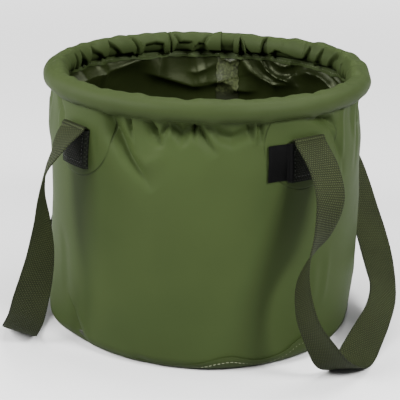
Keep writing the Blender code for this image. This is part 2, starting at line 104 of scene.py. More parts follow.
class Signal:
    """A socket of a shader graph, with the arithmetic of its values."""

    def __init__(self, graph: "Graph", socket: bpy.types.NodeSocket) -> None:
        """Wrap a socket.

        Args:
            graph: The graph that the socket belongs to.
            socket: An output socket.
        """
        self.graph = graph
        self.socket = socket

    def other(self, name: str) -> "Signal":
        """Another output of the same node, by its name."""
        return Signal(self.graph, self.socket.node.outputs[name])

    def maths(self, operation: str, *others: "float | Signal") -> "Signal":
        """The result of a Math node on this value and others."""
        values = {index: value for index, value in enumerate((self, *others))}
        return self.graph.node("ShaderNodeMath", {"operation": operation}, values)

    def __add__(self, other: "float | Signal") -> "Signal":
        """This value plus another."""
        return self.maths("ADD", other)

    __radd__ = __add__

    def __sub__(self, other: "float | Signal") -> "Signal":
        """This value less another."""
        return self.maths("SUBTRACT", other)

    def __rsub__(self, other: float) -> "Signal":
        """A number less this value."""
        return self.graph.node("ShaderNodeMath", {"operation": "SUBTRACT"}, {0: other, 1: self})

    def __mul__(self, other: "float | Signal") -> "Signal":
        """This value times another."""
        return self.maths("MULTIPLY", other)

    __rmul__ = __mul__

    def __truediv__(self, other: "float | Signal") -> "Signal":
        """This value over another."""
        return self.maths("DIVIDE", other)

    def __abs__(self) -> "Signal":
        """This value without its sign."""
        return self.maths("ABSOLUTE")

    def __pow__(self, other: float) -> "Signal":
        """This value to a power."""
        return self.maths("POWER", other)

    def sine(self) -> "Signal":
        """The sine of this value."""
        return self.maths("SINE")

    def fraction(self) -> "Signal":
        """What this value has past its whole number."""
        return self.maths("FRACT")

    def whole(self) -> "Signal":
        """This value's whole number."""
        return self.maths("FLOOR")

    def larger(self, other: "float | Signal") -> "Signal":
        """The larger of this value and another."""
        return self.maths("MAXIMUM", other)

    def eased(self, low: float, high: float) -> "Signal":
        """0 below low, 1 above high, and smooth between them."""
        settings = {"interpolation_type": "SMOOTHSTEP"}
        return self.graph.node("ShaderNodeMapRange", settings, {"Value": self, "From Min": low, "From Max": high})


class Graph:
    """A material's shader graph."""

    def __init__(self, name: str) -> None:
        """Start a material with a Principled shader.

        Args:
            name: The material's name.
        """
        self.material = bpy.data.materials.new(name)
        self.material.use_nodes = True
        self.tree = self.material.node_tree
        self.shader = self.tree.nodes["Principled BSDF"]

    def node(self, kind: str, settings: dict | None = None, values: dict | None = None) -> Signal:
        """Add a node.

        Args:
            kind: The node's type.
            settings: The node's own attributes, which are set first.
            values: Values or signals for its input sockets, by name or index.

        Returns:
            Its first enabled output.
        """
        made = self.tree.nodes.new(kind)
        for attribute, value in (settings or {}).items():
            setattr(made, attribute, value)
        self.feed(made, values or {})
        return Signal(self, next(output for output in made.outputs if output.enabled))

    def feed(self, node: bpy.types.Node, values: dict) -> None:
        """Set or link a node's input sockets.

        Args:
            node: The node.
            values: Values or signals by socket name or index. A name means the enabled socket that has it.
        """
        for key, value in values.items():
            if isinstance(key, int):
                socket = node.inputs[key]
            else:
                socket = next(found for found in node.inputs if found.name == key and found.enabled)
            if isinstance(value, Signal):
                self.tree.links.new(value.socket, socket)
            else:
                socket.default_value = value

    def place(self) -> Signal:
        """Where a point of the surface is in its piece, in metres."""
        return self.node("ShaderNodeTexCoord").other("Object")

    def parts(self, vector: Signal) -> tuple[Signal, Signal, Signal]:
        """A vector's three numbers."""
        split = self.node("ShaderNodeSeparateXYZ", None, {0: vector})
        return split, split.other("Y"), split.other("Z")

    def noise(self, scale: float, detail: float = 2.0, rough: float = 0.5, at: Signal | None = None) -> Signal:
        """Soft noise from 0 to 1.

        Args:
            scale: How many grains there are in a metre.
            detail: How many octaves it has.
            rough: How strong the finer octaves are.
            at: Where it is read, or the surface's own place.

        Returns:
            The noise.
        """
        values = {"Vector": at or self.place(), "Scale": scale, "Detail": detail, "Roughness": rough}
        return self.node("ShaderNodeTexNoise", {"noise_dimensions": "3D"}, values)

    def blend(self, share: Signal, first: Colour, second: Colour) -> Signal:
        """A colour between two, by a share."""
        values = {"Factor": share, "A": (*first, 1), "B": (*second, 1)}
        return self.node("ShaderNodeMix", {"data_type": "RGBA", "clamp_factor": True}, values)

    def bump(self, height: Signal, depth: float, under: Signal | None = None) -> Signal:
        """A bumped normal.

        Args:
            height: The relief, from 0 to 1.
            depth: How deep it is, in metres.
            under: A bumped normal that it lies on.

        Returns:
            The normal.
        """
        values: dict = {"Height": height, "Distance": depth, "Strength": 1.0}
        if under:
            values["Normal"] = under
        return self.node("ShaderNodeBump", None, values)

    def finish(self, values: dict) -> bpy.types.Material:
        """Feed the Principled shader and give the material."""
        self.feed(self.shader, values)
        return self.material


def shade(colour: Colour, factor: float) -> Colour:
    """A colour made lighter or darker."""
    return tuple(min(1.0, part * factor) for part in colour)


@dataclass(frozen=True)
class CoatedCloth:
    """The matt outer face of the coated cloth."""

    name: str = "olive_coated_cloth"
    colour: Colour = (0.0200, 0.0302, 0.0088)
    roughness: float = 0.60
    rings: tuple[tuple[float, float], ...] = ()
    ring_radius: float = 0.038
    ring_line: float = 0.0007
    wall_radius: float = BODY_RADIUS
    groove_shade_strength: float = 0.7
    line_depth: float = 0.0004

    def ring_mask(self, graph: Graph) -> Signal:
        """The pressed outline of each round reinforcement: 1 on the line.

        Args:
            graph: The material's graph.

        Returns:
            The mask.
        """
        x, y, z = graph.parts(graph.place())
        azimuth = x.maths("ARCTAN2", y * -1)
        mask: Signal | None = None
        for centre_azimuth, centre_height in self.rings:
            aside = (azimuth - math.radians(centre_azimuth)) * self.wall_radius
            above = z - centre_height
            reach = (aside * aside + above * above) ** 0.5
            line = 1 - abs(reach - self.ring_radius).eased(self.ring_line * 0.3, self.ring_line * 1.3)
            mask = line if mask is None else mask.larger(line)
        return mask

    def make(self) -> bpy.types.Material:
        """Make the material.

        Returns:
            The material.
        """
        graph = Graph(self.name)
        broad = graph.noise(11, 3)
        grain = graph.noise(900, 3, 0.6)
        dimple = graph.noise(260, 2)
        colour = graph.blend(broad.eased(0.3, 0.7), shade(self.colour, 0.93), shade(self.colour, 1.07))
        normal = graph.bump(grain * 0.6 + dimple * 0.4, 0.00006)
        if self.rings:
            # Painted shade: each ring's pressed line is darkened to under half the cloth's colour, in broken
            # stretches, on top of the groove's bump.
            mask = self.ring_mask(graph) * graph.noise(38, 2).eased(0.36, 0.56)
            dark = shade(self.colour, 0.45)
            values = {"Factor": mask * self.groove_shade_strength, "A": colour, "B": (*dark, 1)}
            colour = graph.node("ShaderNodeMix", {"data_type": "RGBA"}, values)
            normal = graph.bump(1 - mask, self.line_depth, normal)
        values = {
            "Base Color": colour,
            "Roughness": grain * 0.12 + (self.roughness - 0.06),
            "Normal": normal,
            "Specular IOR Level": 0.05,
        }
        return graph.finish(values)


@dataclass(frozen=True)
class Lining:
    """The glossy coated inner face of the cloth."""

    name: str = "olive_gloss_lining"
    upright: bool = True
    # Well under half the outer cloth's colour: partly the coating's own darker tone, partly painted shade for the
    # inside of the bucket.
    colour: Colour = (0.0070, 0.0100, 0.0027)
    roughness: float = 0.36
    scrim_rate: float = 4.6 / MM
    wall_radius: float = BODY_RADIUS

    def make(self) -> bpy.types.Material:
        """Make the material.

        Returns:
            The material.
        """
        graph = Graph(self.name)
        x, y, z = graph.parts(graph.place())
        around = x.maths("ARCTAN2", y * -1) * self.wall_radius if self.upright else x
        along = z if self.upright else y
        scrim = (around * self.scrim_rate).sine() * (along * self.scrim_rate).sine() * 0.5 + 0.5
        crinkle = graph.noise(75, 4, 0.62)
        broad = graph.noise(16, 2)
        colour = graph.blend(broad.eased(0.3, 0.7), shade(self.colour, 0.75), shade(self.colour, 1.35))
        normal = graph.bump(crinkle, 0.00022)
        normal = graph.bump(scrim, 0.00007, normal)
        values = {
            "Base Color": colour,
            "Roughness": broad * 0.16 + (self.roughness - 0.08),
            "Normal": normal,
            "Specular IOR Level": 0.14,
            "Specular Tint": (0.8, 0.88, 0.56, 1.0),
        }
        return graph.finish(values)


@dataclass(frozen=True)
class Webbing:
    """Woven webbing: rows of beads, each row half a bead aside of the next."""

    name: str = "olive_webbing"
    colour: Colour = (0.0092, 0.0120, 0.0036)
    painted_gap_shade: float = 0.10
    bead_width: float = 0.0022
    bead_length: float = 0.0018
    relief: float = 0.0005
    half_width: float = 0.015

    def make(self) -> bpy.types.Material:
        """Make the material.

        Returns:
            The material.
        """
        graph = Graph(self.name)
        across, along, _ = graph.parts(graph.node("ShaderNodeUVMap", {"uv_map": "weave"}))
        row = along / self.bead_length
        aside = (across / self.bead_width + row.whole() * 0.5).fraction()
        bead = (aside * math.pi).sine() * (row.fraction() * math.pi).sine()
        selvedge = abs(across).eased(self.half_width - 0.0020, self.half_width - 0.0010)
        fuzz = graph.noise(1500, 2)
        broad = graph.noise(30, 2)
        # Painted shade darkens the gaps between the beads, and painted light brightens the bead tops.
        tone = bead * 0.95 + fuzz * 0.2 - selvedge * 0.12 + (broad - 0.5) * 0.3
        colour = graph.blend(tone, shade(self.colour, self.painted_gap_shade), shade(self.colour, 2.2))
        normal = graph.bump(bead * 0.85 + fuzz * 0.15, self.relief)
        values = {
            "Base Color": colour,
            "Roughness": 0.9 - bead * 0.15,
            "Normal": normal,
            "Specular IOR Level": 0.1,
        }
        return graph.finish(values)


@dataclass(frozen=True)
class WovenTag:
    """A close satin weave, plain black."""

    name: str = "black_woven_tag"
    colour: Colour = (0.0004, 0.0004, 0.0004)
    rib_pitch: float = 0.0007
    float_width: float = 0.0011
    float_length: float = 0.0028

    def make(self) -> bpy.types.Material:
        """Make the material.

        Returns:
            The material.
        """
        graph = Graph(self.name)
        across, along, _ = graph.parts(graph.node("ShaderNodeUVMap", {"uv_map": "weave"}))
        rib = (along * (2 * math.pi / self.rib_pitch)).sine() * 0.5 + 0.5
        float_yarn = ((across / self.float_width + along / self.float_length).fraction() * math.pi).sine()
        fuzz = graph.noise(1200, 2)
        tone = rib * 0.5 + float_yarn * 0.3 + fuzz * 0.3
        colour = graph.blend(tone, shade(self.colour, 0.6), shade(self.colour, 1.9))
        values = {
            "Base Color": colour,
            "Roughness": 0.62 - rib * 0.12,
            "Normal": graph.bump(rib * 0.7 + float_yarn * 0.3, 0.00008),
            "Specular IOR Level": 0.04,
        }
        return graph.finish(values)


@dataclass(frozen=True)
class Thread:
    """Sewing thread of twisted strands."""

    name: str = "sewing_thread"
    colour: Colour = (0.11, 0.12, 0.07)
    strand_pitch: float = 0.0006

    def make(self) -> bpy.types.Material:
        """Make the material.

        Returns:
            The material.
        """
        graph = Graph(self.name)
        x, y, z = graph.parts(graph.place())
        twist = ((x + y + z * 1.7) * (2 * math.pi / self.strand_pitch)).sine() * 0.5 + 0.5
        colour = graph.blend(twist, shade(self.colour, 0.6), shade(self.colour, 1.15))
        values = {
            "Base Color": colour,
            "Roughness": 0.75 - twist * 0.15,
            "Normal": graph.bump(twist, 0.00007),
        }
        return graph.finish(values)


@dataclass(frozen=True)
class SealingTape:
    """Tape pressed over a seam, mottled, and darkened by painted shade below a ragged height."""

    name: str = "seam_tape"
    colour: Colour = (0.028, 0.035, 0.0125)
    painted_shade_top: float = 0.170
    shade_fade: float = 0.012

    def make(self) -> bpy.types.Material:
        """Make the material.

        Returns:
            The material.
        """
        graph = Graph(self.name)
        mottle = graph.noise(420, 4, 0.7)
        patchy = graph.noise(60, 3)
        _, _, height = graph.parts(graph.place())
        # Painted shade: below this ragged height the tape keeps about a quarter of its colour, for the shade under
        # the fold that crosses it.
        out_of_shade = (height + mottle * self.shade_fade).eased(self.painted_shade_top, self.painted_shade_top + self.shade_fade)
        tone = (mottle.eased(0.38, 0.66) * 0.7 + patchy.eased(0.4, 0.6) * 0.3) * out_of_shade
        colour = graph.blend(tone, shade(self.colour, 0.24), shade(self.colour, 1.25))
        values = {
            "Base Color": colour,
            "Roughness": 0.3 + mottle * 0.35,
            "Normal": graph.bump(mottle, 0.0003),
            "Specular IOR Level": 0.2,
        }
        return graph.finish(values)


@dataclass(frozen=True)
class Plastic:
    """Extruded or moulded plastic, with faint marks."""

    name: str
    colour: Colour
    roughness: float

    def make(self) -> bpy.types.Material:
        """Make the material.

        Returns:
            The material.
        """
        graph = Graph(self.name)
        marks = graph.noise(300, 3)
        colour = graph.blend(marks, shade(self.colour, 0.9), shade(self.colour, 1.08))
        values = {
            "Base Color": colour,
            "Roughness": marks * 0.15 + self.roughness,
            "Normal": graph.bump(marks, 0.00004),
        }
        return graph.finish(values)


@dataclass(frozen=True)
class StudioFloor:
    """The pale floor of the studio."""

    name: str = "pale_floor"
    colour: Colour = (0.55, 0.55, 0.55)
    glow: float = 2.2
    glow_from: float = 0.2
    glow_to: float = 2.6

    def make(self) -> bpy.types.Material:
        """Make the material.

        Returns:
            The material.
        """
        graph = Graph(self.name)
        x, y, _ = graph.parts(graph.place())
        away = (x * x + y * y) ** 0.5
        glow = graph.blend(away.eased(self.glow_from, self.glow_to), (0.0, 0.0, 0.0), (1.0, 1.0, 1.0))
        values = {"Base Color": (*self.colour, 1), "Roughness": 0.9, "Specular IOR Level": 0.1}
        values |= {"Emission Color": glow, "Emission Strength": self.glow}
        return graph.finish(values)


# Shapes


def smooth(share: np.ndarray | float) -> np.ndarray | float:
    """Ease from 0 to 1."""
    held = np.clip(share, 0, 1)
    return held * held * (3 - 2 * held)


def at(azimuth: np.ndarray | float, radius: np.ndarray | float, height: np.ndarray | float) -> np.ndarray:
    """Points at azimuths in degrees, radii and heights in metres.

    Args:
        azimuth: The azimuths.
        radius: The distances from the bucket's axis.
        height: The heights over the floor.

    Returns:
        The points, with their three numbers in the last axis.
    """
    azimuth, radius, height = np.broadcast_arrays(azimuth, radius, height)
    turn = np.radians(azimuth)
    return np.stack([radius * np.sin(turn), -radius * np.cos(turn), height], -1)


def aside_of(azimuth: np.ndarray, middle: float, radius: float) -> np.ndarray:
    """How far round the wall azimuths lie from a middle one, the short way, in the radius's unit."""
    return ((azimuth - middle + 180) % 360 - 180) * math.radians(1) * radius


def normals_of(grid: np.ndarray, wrap: bool) -> np.ndarray:
    """Unit normals of a grid of points.

    Args:
        grid: Points as (rows, columns, 3).
        wrap: Whether the last column joins the first.

    Returns:
        The normals, in the same layout.
    """
    down = np.gradient(grid, axis=0)
    if wrap:
        across = np.roll(grid, -1, axis=1) - np.roll(grid, 1, axis=1)
    else:
        across = np.gradient(grid, axis=1)
    found = np.cross(across, down)
    return found / np.maximum(np.linalg.norm(found, axis=-1, keepdims=True), 1e-12)


@dataclass
class Sheet:
    """A closed mesh between two grids of points, a front and a back, each (rows, columns, 3).

    With wrap, the last column joins the first. With disc, the first row closes over a middle.
    """

    name: str
    front: np.ndarray
    back: np.ndarray
    wrap: bool = False
    disc: bool = False

    def quads(self) -> tuple[np.ndarray, np.ndarray]:
        """Join the points of the two grids with faces.

        Returns:
            The faces as rows of four vertex numbers, and the material slot of each.
        """
        rows, columns = self.front.shape[:2]
        index = np.arange(rows * columns).reshape(rows, columns)
        after = np.roll(index, -1, axis=1) if self.wrap else index[:, 1:]
        here = index if self.wrap else index[:, :-1]
        face = np.stack([here[:-1], after[:-1], after[1:], here[1:]], -1).reshape(-1, 4)
        lift = rows * columns
        middle = rows // 2, columns // 2
        normal = normals_of(self.front, self.wrap)[middle]
        turned = np.dot(normal, (self.front - self.back)[middle]) > 0
        if turned:
            face = face[:, ::-1]
        back = face[:, ::-1] + lift
        edges = [(here[-1], after[-1])]
        if not self.disc:
            edges.append((after[0], here[0]))
        if not self.wrap:
            edges.append((index[1:, -1], index[:-1, -1]))
            edges.append((index[:-1, 0], index[1:, 0]))
        strips = [np.stack([a, b, b + lift, a + lift], -1) for a, b in edges]
        border = np.concatenate(strips)
        if turned:
            border = border[:, ::-1]
        slots = np.concatenate([np.zeros(len(face)), np.ones(len(back)), np.zeros(len(border))])
        return np.concatenate([face, back, border]), slots.astype(int)

    def make(self, finishes: Sequence[bpy.types.Material], weave: np.ndarray | None = None) -> bpy.types.Object:
        """Make the object.

        Args:
            finishes: The front's material, and the back's if it has its own.
            weave: Texture coordinates for the points of one face, (rows, columns, 2), in metres.

        Returns:
            The object.
        """
        faces, slots = self.quads()
        points = np.concatenate([self.front.reshape(-1, 3), self.back.reshape(-1, 3)])
        columns = self.front.shape[1]
        polygons = faces.tolist()
        if self.disc:
            half = len(points) // 2
            ring, under = list(range(columns)), list(range(half, half + columns))
            front_below = self.front[0, :, 2].mean() < self.back[0, :, 2].mean()
            polygons += [ring[::-1], under] if front_below else [ring, under[::-1]]
            slots = np.concatenate([slots, [0, 1]])
        mesh = bpy.data.meshes.new(self.name)
        mesh.from_pydata(points.tolist(), [], polygons)
        for finish in finishes:
            mesh.materials.append(finish)
        mesh.polygons.foreach_set("material_index", np.minimum(slots, len(finishes) - 1))
        if weave is not None:
            layer = mesh.uv_layers.new(name="weave")
            corners = np.zeros(len(mesh.loops), dtype=int)
            mesh.loops.foreach_get("vertex_index", corners)
            twice = np.concatenate([weave.reshape(-1, 2), weave.reshape(-1, 2)])
            layer.data.foreach_set("uv", twice[corners].ravel())
        return add_object(self.name, mesh)


def add_object(name: str, mesh: bpy.types.Mesh) -> bpy.types.Object:
    """Link a smooth shaded mesh to the scene.

    Args:
        name: The object's name.
        mesh: Its mesh.

    Returns:
        The object.
    """
    mesh.shade_smooth()
    mesh.set_sharp_from_angle(angle=math.radians(55))
    mesh.update()
    made = bpy.data.objects.new(name, mesh)
    bpy.context.scene.collection.objects.link(made)
    return made


def settle(piece: bpy.types.Object, body: Body, node: str) -> None:
    """Let a piece ride on a body, in place of a CAD node.

    Args:
        piece: The piece, in place.
        body: The body that it rides on.
        node: The CAD node that it stands for.
    """
    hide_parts(node)
    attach(piece, body.value)
    LOG.info("%s: %d faces on %s", piece.name, len(piece.data.polygons), body.value)


@dataclass(frozen=True)
class Sizes:
    """The bucket's sizes, in metres. The height and the rim's radius come from the frame."""

    height: float
    rim_radius: float
    sleeve: float = 0.0085
    cloth: float = 0.0008
    gap: float = 0.0003
    body_radius: float = BODY_RADIUS
    edge: float = 0.012
    neck_drop: float = 0.040
    hem_drop: float = 0.0054
    lap_drop: float = 0.0003
    webbing_width: float = 0.030
    webbing: float = 0.0015
    seam_azimuth: float = 171.0

    @classmethod
    def from_frame(cls) -> "Sizes":
        """Read the height and the rim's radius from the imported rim."""
        low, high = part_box("rim_sleeve")
        return cls(height=high[2], rim_radius=(high[0] - low[0]) / 2)

    @property
    def tube_radius(self) -> float:
        """From the bucket's axis to the middle of the rim's tube."""
        return self.rim_radius - self.sleeve

    @property
    def tube_height(self) -> float:
        """The height of the middle of the rim's tube."""
        return self.height - self.sleeve

    @property
    def hem_bottom(self) -> float:
        """The height of the hem's inner edge."""
        return self.tube_height - self.sleeve - self.hem_drop

    @property
    def wall_top(self) -> float:
        """The height of the wall's upper edge, inside the hem."""
        return self.tube_height - self.sleeve

    @property
    def neck_radius(self) -> float:
        """The wall's outer radius where it enters the hem."""
        return self.tube_radius + self.cloth / 2

    @property
    def corner_radius(self) -> float:
        """From the axis to the middle of the lower corner's round."""
        return self.body_radius + self.cloth + self.gap - self.edge


@dataclass(frozen=True)
class Anchor:
    """A place where a handle is sewn on, and how far its patch reaches aside of it, in mm."""

    name: str
    azimuth: float
    cover: tuple[float, float] = (-18.0, 18.0)


ANCHORS = (
    Anchor("right_front", 36.0),
    Anchor("right_back", 130.0),
    Anchor("left_front", -50.0, (-17.5, 15.5)),
    Anchor("left_back", -144.0),
)
PATCH_TOP = 0.191
PATCH_HEIGHT = 0.031
RING_HEIGHT = 0.190


@dataclass(frozen=True)
class Crease:
    """A fold line on the wall.

    The route holds (azimuth, height in mm, strength from 0 to 1). The cloth sinks by the depth, in mm, or stands
    out where it is negative. The two widths, in mm, are those of its left and right side, seen along the route.
    """

    route: tuple[tuple[float, float, float], ...]
    depth: float
    width: float = 3.0
    soft: float = 3.0
    crisp: bool = False

    def sink(self, azimuth: np.ndarray, height: np.ndarray, radius: float) -> np.ndarray:
        """How far the cloth sinks at each point.

        Args:
            azimuth: The points' azimuths.
            height: Their heights, in mm.
            radius: The wall's radius, in mm.

        Returns:
            The sinking, in mm.
        """
        middle = self.route[len(self.route) // 2][0]
        scale = math.radians(1) * radius
        across = aside_of(azimuth, middle, radius)
        best = np.full(across.shape, 1e9)
        side = np.zeros(across.shape)
        strength = np.zeros(across.shape)
        for (a0, h0, s0), (a1, h1, s1) in zip(self.route, self.route[1:]):
            x0, x1 = (a0 - middle) * scale, (a1 - middle) * scale
            dx, dh = x1 - x0, h1 - h0
            t = np.clip(((across - x0) * dx + (height - h0) * dh) / (dx * dx + dh * dh), 0, 1)
            away = np.hypot(across - x0 - t * dx, height - h0 - t * dh)
            nearer = away < best
            best = np.where(nearer, away, best)
            side = np.where(nearer, dx * (height - h0) - dh * (across - x0), side)
            strength = np.where(nearer, s0 + (s1 - s0) * t, strength)
        blunt = np.where(side > 0, self.width, self.soft)
        return self.depth * strength * np.exp(-((best / blunt) ** (1.25 if self.crisp else 2)))


# Folds that hang from the rim at the front, as the photo shows them.
FRONT_CREASES = (
    Crease(
        ((-37, 208, 0.7), (-33, 194, 1.0), (-27.3, 178, 0.9), (-21.8, 165, 0.5), (-17, 152, 0)),
        10.5, 10, 4, True,
    ),
    Crease(((-27.5, 208, 1.0), (-26.5, 199, 0.8), (-25, 188, 0)), 5.5, 2.2, 2.2),
    Crease(((-30, 206, 0.3), (-26.5, 194, 1.0), (-22.5, 181, 0.7), (-19, 172, 0)), -1.8, 6, 5),
    Crease(((-19.5, 207, 0.7), (-17.5, 200, 1.0), (-15.7, 192, 0.4), (-14.8, 187, 0)), 9.5, 2.6, 4.0, True),
    Crease(((-12.9, 207, 0.6), (-14.2, 200, 0.8), (-15.7, 192, 0.2)), 5.6, 2.4, 2.4),
    Crease(((-12.3, 208, 1.0), (-12.0, 201, 0.6), (-11.6, 193, 0)), -2.6, 1.8, 1.8),
    Crease(((-11.0, 205, 0.7), (-8.0, 199, 1.0), (-5.0, 205, 0.7)), 9.5, 5.5, 4.5),
    Crease(((-9.8, 195, 0), (-8.0, 193, 1.0), (-5.2, 195, 0)), 2.0, 3.0, 3.0),
    Crease(((-3.9, 209, 1.0), (-3.8, 201, 0.9), (-3.6, 193, 0)), 6.0, 1.5, 1.5),
    Crease(((-2.6, 206, 0.9), (-0.8, 199, 1.0), (1.4, 191, 0.5), (4, 183, 0)), 9.0, 2.6, 5.0, True),
    Crease(((1.0, 206, 0.6), (5.0, 199, 0.9), (9, 196, 0.8), (13, 200, 0.7), (16, 207, 0.3)), 7.8, 5.0, 4.5),
    Crease(((16.8, 208, 1.0), (16.8, 200, 0.9), (16.6, 190, 0)), -2.8, 1.3, 1.3),
    Crease(((18.5, 207, 0.8), (18.8, 200, 0.6), (19.0, 191, 0)), 4.6, 2.0, 2.4),
    Crease(((15.0, 207, 0.8), (15.2, 200, 0.6), (15.4, 193, 0)), 3.8, 1.8, 1.8),
    Crease(((-34, 185, 0), (-26, 180, 1.0), (-20, 173, 1.0), (-15, 180, 0.6), (-12, 188, 0)), -1.8, 5, 7),
    Crease(((38.5, 209, 0.4), (44, 205, 1.0), (49, 202, 1.0), (53, 194, 0)), 8.0, 2.6, 4.0, True),
    Crease(((47.5, 200, 0.8), (52.4, 182, 1.0), (56, 165, 0.5), (58, 150, 0)), 2.6, 2.5, 6, True),
    Crease(((56, 207, 0.7), (55.8, 190, 1.0), (55.7, 172, 0.5), (55, 150, 0)), -1.8, 2.6, 3.0),
    Crease(((-66, 208, 0.8), (-62, 196, 1.0), (-60, 182, 0.6), (-59, 165, 0)), 3.0, 3.0, 5.0),
    Crease(((-41.5, 197, 0), (-40.5, 190, 1.0), (-40.3, 178, 0.5), (-40.3, 170, 0)), 0.9, 1.4, 1.4),
    Crease(((-63, 100, 0), (-61, 80, 1.0), (-60, 45, 1.0), (-57, 25, 0)), 1.2, 9, 7),
    Crease(((-58, 38, 0), (-54, 28, 1.0), (-49, 12, 0.9), (-47, 6, 0.4)), 2.6, 3.0, 4.5, True),
    Crease(((-52, 36, 0), (-48, 24, 1.0), (-44, 10, 0.4)), -1.2, 3.5, 3.5),
    Crease(((-26, 12, 0), (-22, 6, 1.0), (-18, 2, 1.0)), 1.2, 4, 4),
    Crease(((42, 92, 0), (43, 78, 1.0), (43, 58, 1.0), (42, 44, 0)), -1.0, 5, 4),
    Crease(((50, 95, 0), (50, 78, 1.0), (49, 58, 1.0), (48, 42, 0)), -1.0, 4, 5),
    Crease(((32, 151, 0.4), (34, 151, 1.0), (36, 150.5, 0.2)), -0.6, 1.2, 1.2),
    Crease(((80, 140, 0), (84, 115, 0.8), (85, 80, 1.0), (84, 45, 0.9), (80, 28, 0)), -2.6, 30, 30),
    Crease(((78, 196, 0.6), (82, 203, 1.0), (90, 206, 1.0)), 3.4, 6, 14),
    Crease(((-80, 204, 0.4), (-82, 192, 1.0), (-82, 176, 0.8), (-81, 160, 0)), -2.6, 12, 12),
    Crease(((-84, 110, 0), (-82, 60, 0.5), (-75, 25, 1.0), (-68, 4, 1.0)), -4.6, 24, 24),
    Crease(((80, 26, 0), (80, 12, 1.0), (80, 4, 1.0)), 1.6, 24, 24),
)

# Folds at the back, seen inside the bucket under the rim. Here the first width is that of a fold's lower side.
BACK_CREASES = (
    Crease(
        ((-104, 195, 0.3), (-114.5, 195.5, 1.0), (-128, 195.5, 1.0), (-140, 198, 1.0), (-151, 204, 0.7)),
        8.6, 18, 4.4, True,
    ),
    Crease(
        ((-148, 192, 0), (-156, 188, 1.0), (-165, 181, 1.0), (-174, 174.5, 1.0), (-180, 176, 0.8), (-186, 180, 0.4)),
        7, 4.5, 13, True,
    ),
    Crease(
        (
            (-183, 179, 0.3), (-187, 180.5, 0.9), (-190.5, 177, 1.0), (-192, 172, 1.0), (-197, 171.5, 0.9),
            (-203, 173, 0),
        ),
        6.0, 4.0, 14, True,
    ),
    Crease(((-171, 189, 0), (-175, 188.5, 1.0), (-179, 191, 1.0), (-184, 197, 0.3)), 2.4, 2.5, 4.0, True),
    Crease(
        ((165, 204, 0.8), (161.5, 194, 1.0), (156, 186.5, 1.0), (150, 182, 1.0), (143, 183.5, 0.3)),
        5.0, 6, 3.0, True,
    ),
    Crease(
        ((156, 203, 0.8), (153.5, 195, 1.0), (149, 190, 1.0), (143, 187.5, 1.0), (139, 181, 0.2)),
        5.0, 4, 2.4, True,
    ),
    Crease(((143, 205, 0), (140, 198, 1.0), (138.5, 186, 1.0), (138, 176, 0)), -3.4, 7, 7),
    Crease(((151, 204, 1.0), (147, 200, 0.4), (143, 202, 1.0), (141.5, 206, 0.6)), 2.6, 1.6, 2.0, True),
    Crease(
        ((138.5, 196, 0.6), (132.5, 200.5, 1.0), (126, 199.5, 1.0), (118.5, 195, 1.0), (114, 187, 0.5)),
        7.5, 17, 3.0, True,
    ),
    Crease(((121, 206, 1.0), (117, 203, 1.0), (112, 198, 0.5)), 2.6, 1.4, 1.4, True),
    Crease(((-186, 204, 0.6), (-190, 200, 1.0), (-195, 205, 0.5)), 2.4, 1.8, 2.4, True),
    Crease(((178, 168, 0), (160, 160, 1.0), (140, 166, 0)), -1.8, 14, 14),
)

# Gathers round the sides and the back: (azimuth, lean in degrees, reach in mm, depth in mm).
GATHERS = (
    (64, 3, 46, 1.3),
    (73, -4, 62, 1.6),
    (85, 2, 40, 2.2),
    (97, 5, 70, 2.6),
    (109, -3, 48, 2.2),
    (148, 3, 40, 1.8),
    (186, -4, 56, 2.2),
    (200, 4, 44, 1.8),
    (231, -3, 52, 2.4),
    (243, 4, 66, 2.6),
    (256, -2, 42, 2.2),
    (268, 4, 58, 2.6),
    (281, -3, 38, 2.0),
)


def gather_creases() -> tuple[Crease, ...]:
    """The gathers as fold lines, each with a soft ridge beside it.

    Returns:
        A fold line and a ridge for each gather.
    """
    found = []
    top = 208
    steps = ((0, 0, 0.8), (0.25, 0.25, 1.0), (0.7, 0.65, 0.6), (1.0, 1.0, 0.0))
    for azimuth, lean, reach, depth in GATHERS:
        route = tuple((azimuth + lean * a, top - reach * h, s) for a, h, s in steps)
        beside = tuple((a + math.copysign(4.5, lean), h + 2, s * 0.8) for a, h, s in route)
        found.append(Crease(route, depth, 3.0, 6.5))
        found.append(Crease(beside, -depth * 0.5, 5.0, 4.0))
    return tuple(found)


